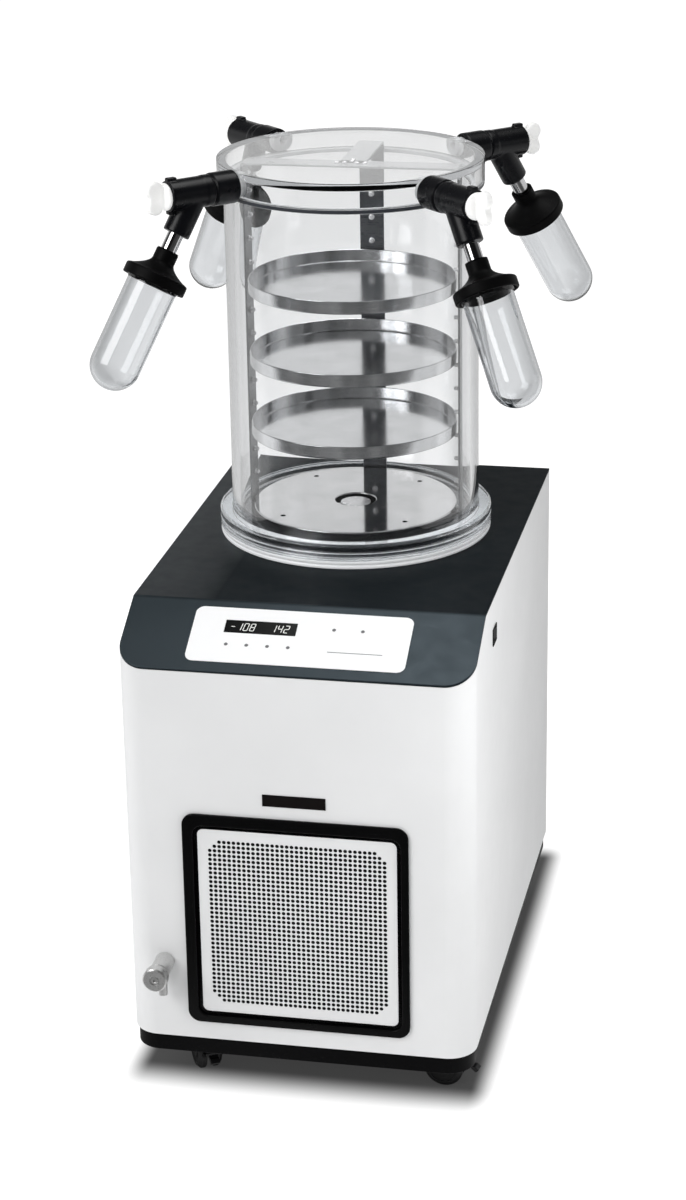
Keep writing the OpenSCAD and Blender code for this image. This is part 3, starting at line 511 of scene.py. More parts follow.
# painted reflection: dark streaks laid into the colour of the trays' walls stand for the surroundings the
# walls mirror
tray = turnedSteel("traySteel", (0.76, 0.765, 0.775), 0.16)
paintedReflections = noise(tray, roundCoordinates(tray, stretch=(0, 3.2, 0)), 1.0, 1)
onWall = spread(tray, split(tray, roundCoordinates(tray))[0], *change["trayWall"])
dark = maths(tray, "MULTIPLY", onWall, spread(tray, paintedReflections, *change["paintedReflections"]))
overColour(tray, dark, (0.42, 0.426, 0.435))

# painted shade: the bottom plate's steel is coloured dark below its upper skin
plateLow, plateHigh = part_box("rack_plate")
plateTop, strapFrom = plateHigh.z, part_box("rack_frame")[1].z - change["strap"]
plateSteel = turnedSteel("plateSteel", (0.72, 0.72, 0.725), 0.09, grain=0.03)
upright = split(plateSteel, coordinates(plateSteel))[2]
paintedPlateShade = spread(plateSteel, upright, *[plateTop - down for down in change["skin"]], 1, 0)
overColour(plateSteel, paintedPlateShade, (0.07, 0.072, 0.075))
# painted light and shade: the posts' steel is coloured dark, and bright from their straps upwards
postSteel = rolledSteel("postSteel", (0.13, 0.136, 0.145), 0.3, grain=0.02, tone=0.02)
upright = split(postSteel, coordinates(postSteel))[2]
above = spread(postSteel, upright, strapFrom, strapFrom + change["strapFade"])
overColour(postSteel, above, (0.66, 0.67, 0.68))
turnedSteel("collarSteel", (0.15, 0.155, 0.165), 0.2, grain=0.35, fine=1100)
turnedSteel("stemSteel", (0.7, 0.7, 0.71), 0.07, own=True, grain=0.04)
turnedSteel("drainSteel", (0.66, 0.66, 0.655), 0.3, own=True, metallic=0.86)
rolledSteel("pinSteel", (0.85, 0.85, 0.86), 0.22, stretch=(300, 300, 300), grain=0.03, metallic=0.6)
rolledSteel("zincSteel", (0.5, 0.51, 0.53), 0.34, stretch=(90, 90, 90))
rolledSteel("finAluminium", (0.62, 0.63, 0.64), 0.32)
clearFinish("clearAcrylic", (0.985, 0.988, 0.99), 1.49, 4.0, wave=0.015)
clearFinish("headAcrylic", (0.985, 0.988, 0.99), 1.47, 1.2, wave=0.01)
clearFinish("flaskGlass", (0.93, 0.935, 0.94), 1.5, 32.0, wave=0.09, waveScale=26, haze=0.01, own=True)
print("finishes made")

nodeFinishes = {"rear_panel": "whitePaint", "power_rocker": "plasticBlack", "power_inlet": "plasticBlack",
                "caster_plates": "zincSteel", "trap_jacket": "foamDark", "compressors": "compressorBlack",
                "condenser_core": "finAluminium", "fan_shroud": "shroudDark", "fan_rotor": "shroudDark",
                **{f"caster_hood_{n}": "plasticBlack" for n in range(1, 5)}}
for node, finish in nodeFinishes.items():
    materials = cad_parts[node].data.materials
    materials.clear()
    materials.append(bpy.data.materials[finish])
print("CAD nodes finished")


# Side views as rows of (radius, share, rise): share 0 is the node's bottom and 1 its top
def rowsAt(low, high, rows):
    return [(radius, low + (high - low) * share + rise) for radius, share, rise in rows]


# Chamber: clear tube, flange, rings and head
rings = {
    "clear_tube": {"node": "chamber_tube", "look": ("clearAcrylic", "clear_acrylic"), "edge": 0.0006,
                   "steps": 4, "rows": ((0.1165, 0, 0), (0.1245, 0, 0), (0.1245, 1, 0), (0.1165, 1, 0))},
    "clear_flange": {"node": "chamber_flange", "look": ("clearAcrylic", "clear_acrylic"), "edge": 0.0007,
                     "steps": 3,
                     "rows": ((0.1246, 0, 0), (0.137, 0, 0), (0.137, 0, 0.0078), (0.1358, 0, 0.0082),
                              (0.1358, 0, 0.0094), (0.137, 0, 0.0098), (0.137, 1, -0.0022), (0.1348, 1, 0),
                              (0.1246, 1, 0))},
    "seal_ring": {"node": "head_seal", "look": ("sealRubber", "black_rubber"), "edge": 0.0007, "steps": 3,
                  "rows": ((0.1246, 0, 0.003), (0.1275, 0, 0.003), (0.1275, 0, 0.004), (0.1301, 0, 0.004),
                           (0.1301, 1, 0), (0.117, 1, 0), (0.117, 0, 0.004), (0.1246, 0, 0.004))},
    "base_ring": {"node": "base_gasket", "look": ("siliconeWhite", "gasket_silicone"), "edge": 0.0016,
                  "steps": 4,
                  "rows": ((0.1161, 0, 0), (0.1365, 0, 0), (0.1365, 0.5, -0.0016), (0.1354, 0.5, 0),
                           (0.1365, 0.5, 0.0016), (0.1365, 1, 0), (0.1161, 1, 0))}}
for name, plan in rings.items():
    low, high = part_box(plan["node"])
    rows = rowsAt(low.z, high.z, plan["rows"])
    piece = turned(name, rows, chamberSteps, plan["edge"], plan["steps"], closed=True)
    dress(piece, *plan["look"], plan["node"], place=onAxis)
head = {"outside": ((0.1219, 0, 0), (0.1305, 0, 0), (0.1305, 1, 0), (0, 1, 0)), "edge": 0.0005,
        "inside": ((0, 1, -0.008), (0.1219, 1, -0.008), (0.1219, 0, 0)), "innerEdge": 0.0006}
low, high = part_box("chamber_head")
headMiddle = (low.z + high.z) / 2
outline = rounded(rowsAt(low.z, high.z, head["outside"]), head["edge"]) \
    + rounded(rowsAt(low.z, high.z, head["inside"]), head["innerEdge"])
clearHead = turned("clear_head", outline, chamberSteps)
dress(clearHead, "headAcrylic", "clear_acrylic", "chamber_head", place=onAxis)
print("chamber made")

# Rack: posts with straps, pins, bottom plate and trays
rack = {"inner": 0.1055, "thick": 0.002, "width": 0.025, "turns": (0, 90, 180), "bend": 0.0035, "edge": 0.0003,
        "near": 0.0001}
low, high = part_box("rack_frame")
strapTop, strapUnder = high.z, high.z - rack["thick"]
posts = []
for turn in rack["turns"]:
    # a flat post whose top is pulled inwards as the strap
    post = block("post", (rack["thick"], rack["width"], strapTop - low.z),
                 (rack["inner"] + rack["thick"] / 2, 0, (low.z + strapTop) / 2))
    startEdit(post)
    pick(post, "FACE", lambda face: face.normal.z > 0.9)
    shift(0, 0, -rack["thick"])
    drawOut(0, 0, rack["thick"])
    pick(post, "FACE", lambda face: face.normal.x < -0.9 and face.calc_center_median().z > strapUnder)
    drawOut(-rack["inner"], 0, 0)
    pick(post, "EDGE", lambda edge: runsAlong(edge, 1) and middle(edge).x > rack["inner"] + rack["thick"] / 2
         and middle(edge).z > strapTop - rack["near"])
    bevelPicked(rack["bend"], 6)
    pick(post, "EDGE", lambda edge: runsAlong(edge, 1) and abs(middle(edge).x - rack["inner"]) < rack["near"]
         and abs(middle(edge).z - strapUnder) < rack["near"])
    bevelPicked(rack["bend"] - rack["thick"], 4)
    stopEdit()
    softEdges(post, rack["edge"], 2, 60)
    posts.append(settle(post, spun(turn)))
dress(joined("rack_posts", posts), "postSteel", "brushed_steel", "rack_frame", place=onAxis)

pin = {"outline": ((0, 0), (0.0031, 0), (0.0031, 0.0011), (0.002, 0.0014), (0.002, 0.0043), (0.0012, 0.005),
                   (0, 0.005)), "steps": pinSteps, "edge": 0.0003, "edgeSteps": 2}
screw = {"outline": ((0, 0), (0.0026, 0), (0.0026, 0.00108), (0.00156, 0.0018), (0, 0.0018)),
         "steps": pinSteps, "edge": 0.0004}
pinRow = {"first": 0.5482, "pitch": 0.0242, "toTop": 0.012, "spacer": 0.0024, "spacerEdge": 0.0002,
          "screwOut": (0.006, 0.014), "sunk": 0.00005}
plateRadius = (plateHigh.x - plateLow.x) / 2
onePin, oneScrew = turned("pin", **pin), turned("screw", **screw)
onePin.data.transform(spun(-90, "Y"))
spacer = puck("spacer", pinRow["spacer"], 0, rack["inner"] - plateRadius, pinSteps, pinRow["spacerEdge"], 2)
pinSpots = [(onePin, at(rack["inner"] - pinRow["sunk"], 0, pinRow["first"] + k * pinRow["pitch"]))
            for k in range(int((strapTop - pinRow["toTop"] - pinRow["first"]) / pinRow["pitch"]) + 1)]
otherSpots = [(spacer, at(plateRadius, 0, (plateLow.z + plateHigh.z) / 2) @ spun(90, "Y"))]
otherSpots += [(oneScrew, at(out, 0, strapTop + pinRow["sunk"])) for out in pinRow["screwOut"]]
pins = [settle(copied(source), spun(turn) @ spot)
        for group in (pinSpots, otherSpots) for turn in rack["turns"] for source, spot in group]
remove(onePin, spacer, oneScrew)
dress(joined("rest_pins", pins), "pinSteel", "polished_steel", "rack_pins", place=onAxis)

plate = {"hole": 0.0205, "lip": 0.022, "sheet": 0.0015, "edge": 0.0012, "boltHole": 0.0027, "boltOut": 0.086,
         "boltDeep": 0.01, "boltTurns": (50, 130, 225, 315)}
hole, lip, wallIn = plate["hole"], plate["lip"], plateRadius - plate["sheet"]
rows = ((hole, 1, 0), (plateRadius, 1, 0), (plateRadius, 0, 0), (wallIn, 0, 0), (wallIn, 1, -0.0015),
        (lip, 1, -0.0015), (lip, 1, -0.0037), (hole, 1, -0.0037))
rackPlate = turned("bottom_plate", rowsAt(plateLow.z, plateTop, rows), rackSteps, plate["edge"], 4, True)
bolt = Vector((plate["boltOut"], 0, plateTop))
drills = [rod("drill", plate["boltHole"], plate["boltDeep"], spun(turn) @ bolt, steps=pinSteps)
          for turn in plate["boltTurns"]]
cut(rackPlate, joined("drill", drills))
dress(rackPlate, "plateSteel", "polished_steel", "rack_plate", place=onAxis)

shelf = {"wall": 0.0012, "corner": 0.002, "innerCorner": 0.0014, "cornerSteps": 5}
for n in (1, 2, 3):
    low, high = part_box(f"tray_{n}")
    radius = (high.x - low.x) / 2
    inner = radius - shelf["wall"]
    outward = rowsAt(low.z, high.z, ((0, 0, 0), (radius, 0, 0), (radius, 1, 0)))
    rim = rowsAt(low.z, high.z, ((radius + 0.0003, 1, -0.0006), (radius, 1, 0), (radius - 0.0006, 1, 0.0002),
                                 (inner, 1, -0.0002)))
    inward = rowsAt(low.z, high.z, ((inner, 1, -0.0005), (inner, 0, shelf["wall"]), (0, 0, shelf["wall"])))
    outline = rounded(outward, shelf["corner"], shelf["cornerSteps"])[:-1] + rim \
        + rounded(inward, shelf["innerCorner"], shelf["cornerSteps"])
    dress(turned(f"shelf_{n}", outline, rackSteps), "traySteel", "brushed_steel", f"tray_{n}", place=onAxis)
print("rack made")

# Four ports round the head. In a port's own axes X points outwards from the chamber's axis.
port = {"turns": (225, 315, 45, 135), "bend": 0.1758, "branchAngle": 58.5}
portPlaces = [at(axisX, axisY, headMiddle) @ spun(turn) for turn in port["turns"]]
outwards = spun(90, "Y")
downBranch = at(port["bend"], 0, 0) @ spun(90 + port["branchAngle"], "Y")


# each port gets a copy of the piece, which was modelled in a port's own axes
def toPorts(source, name, finish, slotName, node, smooth=38, body="cabinet"):
    for n, place in enumerate(portPlaces, 1):
        dress(copied(source, f"{name}_{n}"), finish, slotName, f"{node}_{n}", place=place, smooth=smooth,
              body=body.format(n))
    remove(source)


# the parts melt into one skin with soft creases
def melted(name, parts, relax, grain=0.0006, share=0.5):
    piece = joined(name, parts)
    applyModifier(piece, "REMESH", mode="VOXEL", voxel_size=grain)
    applyModifier(piece, "SMOOTH", factor=share, iterations=relax)
    return piece


valve = {"end": 0.2068, "branch": 0.013, "branchLength": 0.0435, "edge": 0.0012, "lugEdge": 0.0006, "relax": 6,
         "lugs": (((0.01, 0.0065, 0.0045), 0.0152), ((0.0055, 0.0065, 0.0045), -0.0152)),
         "barrel": ((0, 0.1343), (0.016, 0.1343), (0.016, 0.1593), (0.0138, 0.1593), (0.0138, 0.1613),
                    (0.0152, 0.1613), (0.0152, 0.1683), (0.01475, 0.1698), (0.01475, 0.2068), (0, 0.2068))}
barrel = turned("barrel", valve["barrel"], portSteps, valve["edge"])
branch = puck("branch", valve["branch"], 0, valve["branchLength"], portSteps, valve["edge"])
parts = [settle(barrel, outwards), settle(branch, downBranch)]
for size, up in valve["lugs"]:
    lug = block("lug", size, (valve["end"] - size[0] / 2, 0, up))
    softEdges(lug, valve["lugEdge"], 2)
    parts.append(lug)
toPorts(melted("valve", parts, valve["relax"]), "port_valve", "rubberBlack", "black_rubber", "valve_body", 80)

knob = {"disc": ((0, 0.2072), (0.013, 0.2072), (0.013, 0.21042), (0.0104, 0.2118), (0, 0.2118)),
        "discEdge": 0.0009, "lobes": ((0.0085, 0.0075), (0.00782, -0.00818)), "lobeOut": 0.2204,
        "halfThick": 0.0042, "lobeEdge": 0.0022, "web": (0.0179, 0.00756, 0.0221), "webOut": 0.21815,
        "flareFrom": (0.21655, 0.0078), "flare": 1.16, "dipFrom": (0.22216, 0.0039), "dip": -0.0015,
        "relax": 9}
parts = [settle(turned("disc", knob["disc"], smallSteps, knob["discEdge"]), outwards)]
for radius, up in knob["lobes"]:
    lobe = puck("lobe", radius, -knob["halfThick"], knob["halfThick"], 48, knob["lobeEdge"], 4)
    parts.append(settle(lobe, at(knob["lobeOut"], 0, up) @ spun(90, "X")))
# the web between the lobes: a block whose outer end spreads and whose middle dips
web = block("web", knob["web"], (knob["webOut"], 0, 0))
startEdit(web)
bpy.ops.mesh.subdivide(number_cuts=3)
out, side = knob["flareFrom"]
pick(web, "VERT", lambda spot: spot.co.x > out and abs(spot.co.z) > side)
bpy.ops.transform.resize(value=(1, 1, knob["flare"]))
out, side = knob["dipFrom"]
pick(web, "VERT", lambda spot: spot.co.x > out and abs(spot.co.z) < side)
shift(knob["dip"], 0, 0)
stopEdit()
toPorts(melted("knob", [*parts, web], knob["relax"]), "port_knob", "nylonWhite", "white_nylon", "valve_knob",
        80, "knob_{}")
print("valves made")


# copies at all four ports that stay one piece
def atPorts(source, name, finish, slotName, node):
    copies = [settle(copied(source), place) for place in portPlaces]
    remove(source)
    dress(joined(name, copies), finish, slotName, node, smooth=0)


nipple = {"outline": ((0.0042, 0.1215), (0.0068, 0.1215), (0.0112, 0.1223), (0.0112, 0.1297), (0.0125, 0.1308),
                      (0.0125, 0.1331), (0.0095, 0.1331), (0.0095, 0.154), (0.0042, 0.154)),
          "steps": smallSteps, "edge": 0.0005, "closed": True}
atPorts(settle(turned("nipple", **nipple), outwards), "head_nipples", "nippleWhite", "white_nylon",
        "port_nipples")
stem = {"outline": ((0.0062, 0.0425), (0.0077, 0.0425), (0.0077, 0.0755), (0.0062, 0.0755)),
        "steps": smallSteps, "edge": 0.0004, "edgeSteps": 2, "closed": True}
atPorts(settle(keepOwnPlace(turned("stem", **stem)), downBranch), "steel_stems", "stemSteel", "polished_steel",
        "flask_stems")

cap = {"neck": [(0.0085, 0.0605), (0.011, 0.0605), (0.0098, 0.0605), (0.011, 0.0617)], "edge": 0.0024,
       "sweep": [(0.011 + 0.014 * (t / 8) ** 1.75, 0.0715 + 0.0115 * t / 8) for t in range(9)],
       "mouth": [(0.031, 0.085), (0.031, 0.0955), (0.0278, 0.0955), (0.0272, 0.088), (0.0247, 0.088),
                 (0.0247, 0.0825), (0.0085, 0.0825)], "least": 0.00005}
mouth = rounded([cap["sweep"][-1], *cap["mouth"]], cap["edge"], 5)
outline = [*cap["neck"], *cap["sweep"], *mouth[1:]]
outline = [p for k, p in enumerate(outline) if k == 0 or math.dist(p, outline[k - 1]) > cap["least"]]
flaskCap = keepOwnPlace(turned("cap", outline, flaskSteps, closed=True))
toPorts(settle(flaskCap, downBranch), "rubber_cap", "capRubber", "black_rubber", "flask_cap")

glass = {"radius": 0.0245, "inner": 0.0223, "innerFoot": 0.0215, "footZ": 0.179, "end": 0.2035, "bead": 0.0027,
         "beadFrom": 0.0886, "beadHigh": 0.009, "mouth": [(0.0223, 0.0834), (0.02318, 0.0826)],
         "outerMouth": [(0.0244, 0.0826), (0.0244, 0.0884)]}
radius, footZ = glass["radius"], glass["footZ"]
arc = [math.pi / 2 * t / 14 for t in range(14)]
outline = [*glass["outerMouth"]]
outline += [(radius + glass["bead"] * math.sin(math.pi * t ** 0.6), glass["beadFrom"] + glass["beadHigh"] * t)
            for t in (n / 8 for n in range(1, 9))]
outline += [(radius * math.cos(a), footZ + radius * math.sin(a)) for a in arc]
outline += [(0, glass["end"]), (0, footZ + glass["innerFoot"])]
outline += [(glass["inner"] * math.cos(a), footZ + glass["innerFoot"] * math.sin(a)) for a in arc[::-1]]
outline += glass["mouth"]
flask = keepOwnPlace(turned("flask", outline, flaskSteps, closed=True))
toPorts(settle(flask, downBranch, 60), "glass_flask", "flaskGlass", "flask_glass", "flask", 60)
print("flasks made")

# Front: perforated panel in its dark surround
vent = {"count": 37, "pitch": 0.0047, "hole": 0.00187, "sides": 16, "corner": 0.01, "inset": 0.0002,
        "sheet": 0.0004, "growLow": (0.0035, 0, 0.0035), "growHigh": (0.0033, 0, 0.002), "near": 0.0001,
        "weld": 0.00002, "seam": 0.00001, "drawn": 1.2, "catch": 1.05}
low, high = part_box("grille_panel")
panelLow, panelHigh = low - Vector(vent["growLow"]), high + Vector(vent["growHigh"])
panelMiddle, panelSize = (panelLow + panelHigh) / 2, panelHigh - panelLow
half, reach = vent["pitch"] / 2, vent["pitch"] * (vent["count"] - 1) / 2
# one hole in a square cell
clearPick()
bpy.ops.mesh.primitive_circle_add(vertices=vent["sides"], radius=vent["hole"], fill_type="NOTHING")
ventPanel = named("vent_panel")
startEdit(ventPanel, "EDGE")
pickAll()
drawOut(0, 0, 0)
bpy.ops.transform.resize(value=(vent["drawn"], vent["drawn"], 1))
cell = bmesh.from_edit_mesh(ventPanel.data)
for spot in cell.verts:
    if spot.select:
        spot.co = spot.co * (half / max(abs(spot.co.x), abs(spot.co.y)))
bmesh.update_edit_mesh(ventPanel.data)
stopEdit()
for step in ((vent["pitch"], 0, 0), (0, vent["pitch"], 0)):
    applyModifier(ventPanel, "ARRAY", count=vent["count"], use_relative_offset=False,
                  use_constant_offset=True, constant_offset_displace=step, use_merge_vertices=True,
                  merge_threshold=vent["weld"])
ventPanel.data.transform(at(-reach, -reach, 0))
# the holes nearest each corner are closed, as the field's corners are rounded
startEdit(ventPanel, "EDGE")
corners = [(reach, reach), (reach - vent["pitch"], reach), (reach, reach - vent["pitch"])]
for x, y in [(sx * a, sy * b) for sx in (-1, 1) for sy in (-1, 1) for a, b in corners]:
    pick(ventPanel, "EDGE", lambda edge: edge.is_boundary
         and (middle(edge) - Vector((x, y, 0))).length < vent["hole"] * vent["catch"])
    bpy.ops.mesh.edge_face_add()
# the plain border between the field and the panel's rounded outline
bpy.ops.mesh.select_all(action="DESELECT")
bpy.ops.mesh.select_mode(type="VERT")
bpy.ops.mesh.primitive_plane_add(size=1)
bpy.ops.transform.resize(value=(panelSize.x - 2 * vent["inset"], panelSize.z - 2 * vent["inset"], 1))
bevelPicked(vent["corner"], 8, "VERTICES")
bpy.ops.mesh.delete(type="ONLY_FACE")
pick(ventPanel, "EDGE", lambda edge: (edge.is_boundary or edge.is_wire)
     and max(abs(middle(edge).x), abs(middle(edge).y)) > reach + half - vent["near"])
bpy.ops.mesh.fill(use_beauty=True)
pickAll()
bpy.ops.mesh.remove_doubles(threshold=vent["seam"])
closeEdit()
if sum(face.normal.z for face in ventPanel.data.polygons) < 0:
    ventPanel.data.flip_normals()
applyModifier(ventPanel, "SOLIDIFY", thickness=vent["sheet"], offset=-1)
dress(ventPanel, "whitePaint", "white_paint", "grille_panel", smooth=30,
      place=at(panelMiddle.x, panelLow.y, panelMiddle.z) @ spun(90, "X"))

surround = {"corner": 0.012, "proud": 0.0031, "liningIn": 0.0053, "liningBack": 0.0172, "seat": 0.0003,
            "seatDeep": 0.05, "wayIn": 0.004, "wayDeep": 0.08, "wayCorner": 0.006, "edge": 0.0009}
low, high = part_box("grille_frame")
proud, liningBack = surround["proud"], surround["liningBack"]
plateFront = blockBetween("surround_plate", low, high, 0, proud, low.y + proud / 2, surround["corner"], 10)
cut(plateFront, blockBetween("seat", panelLow, panelHigh, -surround["seat"] / 2, surround["seatDeep"], low.y,
                             vent["corner"], 10))
softEdges(plateFront, surround["edge"], 3, 50)
lining = blockBetween("lining", low, high, surround["liningIn"], liningBack - proud,
                      low.y + (liningBack + proud) / 2, surround["corner"] / 2)
cut(lining, blockBetween("air_way", panelLow, panelHigh, surround["wayIn"], surround["wayDeep"], low.y,
                         surround["wayCorner"]))
dress(joined("vent_surround", [plateFront, lining]), "surroundBlack", "black_plastic", "grille_frame")
print("front grille made")

# Cabinet: painted shell, bent top cover, plinth
frameLow, frameHigh = low, high
shellLow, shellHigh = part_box("cabinet_shell")
coverLow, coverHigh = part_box("top_cover")
switchLow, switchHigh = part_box("switch_bezel")
switchMiddle = (switchLow + switchHigh) / 2
cabinet = {"corner": 0.028, "frontTop": 0.456, "slopeRun": 0.079, "sheet": 0.0015, "cover": 0.002,
           "edge": 0.0005, "fold": 0.0025, "margin": 0.04, "spare": 0.01, "way": (0.098, 0.1), "above": 0.6,
           "width": 0.6, "openingIn": 0.005, "openingDeep": 0.03, "switchWay": (0.02, 0.0185, 0.0144)}
frontY, backY, topZ = coverLow.y, coverHigh.y, coverHigh.z
slope = math.atan2(topZ - cabinet["frontTop"], cabinet["slopeRun"])


# side view of the cover's line, moved down by a distance
def coverLine(down):
    margin = cabinet["margin"]
    return [(frontY - margin, cabinet["frontTop"] - margin * math.tan(slope) - down / math.cos(slope)),
            (frontY + cabinet["slopeRun"] + down * math.tan(slope / 2), topZ - down),
            (backY + margin, topZ - down)]


# the cabinet's plan with its rounded front corners, between two heights
def cabinetBlock(name, inset, bottom, top):
    piece = block(name, (coverHigh.x - coverLow.x - 2 * inset, backY - frontY - 2 * inset, top - bottom),
                  (0, 0, (bottom + top) / 2))
    startEdit(piece, "EDGE")
    pick(piece, "EDGE", lambda edge: runsAlong(edge, 2) and middle(edge).y < 0)
    bevelPicked(cabinet["corner"] - inset, 14)
    stopEdit()
    return piece


shell = cabinetBlock("white_shell", 0, shellLow.z, topZ + cabinet["spare"])
above = [(backY + cabinet["margin"], cabinet["above"]), (frontY - cabinet["margin"], cabinet["above"])]
cut(shell, slab("above", coverLine(cabinet["cover"]) + above, cabinet["width"]))
startEdit(shell)
pick(shell, "FACE", lambda face: abs(face.normal.z) > 0.3 or face.normal.y > 0.9)
bpy.ops.mesh.delete(type="FACE")
stopEdit()
applyModifier(shell, "SOLIDIFY", thickness=cabinet["sheet"], offset=-1)
cut(shell, blockBetween("opening", frameLow, frameHigh, cabinet["openingIn"], cabinet["openingDeep"], frontY),
    block("socket", cabinet["switchWay"], (shellHigh.x, switchMiddle.y, switchMiddle.z)))
softEdges(shell, cabinet["edge"], 2)
dress(shell, "whitePaint", "white_paint", "cabinet_shell", smooth=30)

overSheet, underSheet = [rounded(coverLine(down), cabinet["fold"], 6) for down in (0, cabinet["cover"])]
cover = slab("dark_cover", overSheet + underSheet[::-1], cabinet["width"])
cut(cover, cabinetBlock("outline", 0, shellLow.z, topZ + cabinet["spare"]), way="INTERSECT")
cut(cover, rod("trap_way", *cabinet["way"], (axisX, axisY, topZ), steps=flaskSteps))
softEdges(cover, cabinet["edge"], 3)
dress(cover, "darkPaint", "dark_paint", "top_cover", smooth=30)

plinth = {"inset": 0.0025, "wall": 0.004, "floor": 0.003, "edge": 0.0012, "pad": (0.05, 0.009),
          "padAt": (0.078, 0.165), "rail": (0.194, 0.034, 0.044), "railFront": 0.022}
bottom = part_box("base_plinth")[0].z
base = cabinetBlock("dark_plinth", plinth["inset"], bottom, shellLow.z)
startEdit(base)
pick(base, "FACE", lambda face: face.normal.z > 0.9)
bpy.ops.mesh.inset(thickness=plinth["wall"])
shift(0, 0, bottom + plinth["floor"] - shellLow.z)
stopEdit()
softEdges(base, plinth["edge"], 3)
railDeep, railTall = plinth["rail"][1:]
padRadius, padTall = plinth["pad"]
padX, padY = plinth["padAt"]
rail = block("rail", plinth["rail"], (0, frontY + plinth["railFront"] + railDeep / 2, bottom + railTall / 2))
pads = [rod("pad", padRadius, padTall, (x, padY, bottom + padTall / 2), steps=smallSteps)
        for x in (-padX, padX)]
dress(joined("dark_plinth", [base, rail, *pads]), "plinthBlack", "plinth_black", "base_plinth", smooth=30)
print("cabinet made")

# Control panel. In the slope's own axes X runs across, Y up the slope and Z outwards.
onSlope = at(0, frontY, cabinet["frontTop"]) @ Matrix.Rotation(slope, 4, "X")
panel = {"width": 0.209, "length": 0.0675, "start": 0.0115, "thick": 0.0008, "gap": 0.0001, "corner": 0.008,
         "edge": 0.0002, "displayX": -0.039, "displayUp": 0.056, "display": (0.069, 0.016), "glass": 0.0004,
         "window": (0.01, 0.0004), "play": 0.0002}
filmTop, glassTop = panel["gap"] + panel["thick"], panel["gap"] + panel["glass"]
displayX, displayUp = panel["displayX"], panel["displayUp"]
displayWide, displayTall = panel["display"]
film = block("overlay_film", (panel["width"], panel["length"], panel["thick"]),
             (0, panel["start"] + panel["length"] / 2, panel["gap"] + panel["thick"] / 2),
             panel["corner"], 2, 10)
windowDeep, windowCorner = panel["window"]
cut(film, block("window", (displayWide, displayTall, windowDeep), (displayX, displayUp, 0), windowCorner,
                2, 3))
softEdges(film, panel["edge"], 2)
dress(film, "overlayFilm", "overlay_film", "control_overlay", place=onSlope, smooth=30)
window = block("display_glass", (displayWide - panel["play"], displayTall - panel["play"], panel["glass"]),
               (displayX, displayUp, panel["gap"] + panel["glass"] / 2))
dress(window, "displayGlass", "display_glass", "display_window", place=onSlope)

digit = {"high": 0.0094, "wide": 0.0047, "stroke": 0.0008, "gap": 0.0002, "deep": 0.0001, "slant": 9,
         "text": {-0.0265: "-", -0.0204: "1", -0.0141: "0", -0.0078: "8", 0.0123: "1", 0.0186: "4",
                  0.0249: "2"},
         "lit": {"-": "g", "0": "abcdef", "1": "bc", "2": "abdeg", "4": "bcfg", "8": "abcdefg"}}
stroke = digit["stroke"]
halfWide, halfHigh = (digit["wide"] - stroke) / 2, (digit["high"] - stroke) / 2
spots = {"a": (0, halfHigh), "g": (0, 0), "d": (0, -halfHigh), "b": (halfWide, halfHigh / 2),
         "c": (halfWide, -halfHigh / 2), "f": (-halfWide, halfHigh / 2), "e": (-halfWide, -halfHigh / 2)}
bars = []
for x, sign in digit["text"].items():
    for bar in digit["lit"][sign]:
        long = 2 * halfWide if bar in "agd" else halfHigh
        size = (long - digit["gap"], stroke) if bar in "agd" else (stroke, long - digit["gap"])
        middleX, middleY = spots[bar]
        bars.append(block("bar", (*size, digit["deep"]), (x + middleX, middleY, 0), stroke * 0.4, 2, 1))
digits = joined("display_digits", bars)
lean = Matrix.Identity(4)
lean[0][1] = math.tan(math.radians(digit["slant"]))
digits.data.transform(lean)
dress(digits, "digitLight", "display_glass",
      place=onSlope @ at(displayX, displayUp, glassTop + digit["deep"] / 2))

marks = {"radius": 0.0018, "deep": 0.00006, "row": 0.0335, "keys": (-0.0683, -0.0486, -0.0287, -0.0089),
         "lampRow": 0.0584, "lamps": (0.0308, 0.0582), "line": (0.052, 0.0008), "lineAt": (0.055, 0.031)}
markZ = filmTop + marks["deep"] / 2
dots = [(x, marks["row"], markZ) for x in marks["keys"]]
dots += [(x, marks["lampRow"], markZ) for x in marks["lamps"]]
prints = [rod("dot", marks["radius"], marks["deep"], spot) for spot in dots]
prints.append(block("line", (*marks["line"], marks["deep"]), (*marks["lineAt"], markZ)))
dress(joined("overlay_marks", prints), "printGrey", "overlay_film", place=onSlope)

badge = {"size": (0.061, 0.0007, 0.012), "height": 0.328, "gap": 0.00005, "edge": 0.0002}
badgeY = frontY - badge["size"][1] / 2 - badge["gap"]
plateBare = block("bare_plate", badge["size"], (0, badgeY, badge["height"]))
softEdges(plateBare, badge["edge"], 2)
dress(plateBare, "badgeBlack", "black_plastic")
print("control panel made")

# Power switch's frame on the right side: a rim in front and a well behind it for the rocker
switch = {"rim": 0.0028, "deep": 0.006, "proud": 0.0012, "edge": 0.0005, "step": 0.0017}
behind = switchHigh.x - switch["proud"] - switchLow.x
frameBlock = block("switch_frame", switchHigh - switchLow, switchMiddle)
startEdit(frameBlock)
pick(frameBlock, "FACE", lambda face: face.normal.x > 0.9)
bpy.ops.mesh.inset(thickness=switch["rim"])
shift(-switch["deep"], 0, 0)
pick(frameBlock, "FACE", lambda face: face.normal.x < -0.9)
shift(behind, 0, 0)
bpy.ops.mesh.inset(thickness=switch["step"])
drawOut(-behind, 0, 0)
stopEdit()
softEdges(frameBlock, switch["edge"], 3)
dress(frameBlock, "plasticBlack", "black_plastic", "switch_bezel")

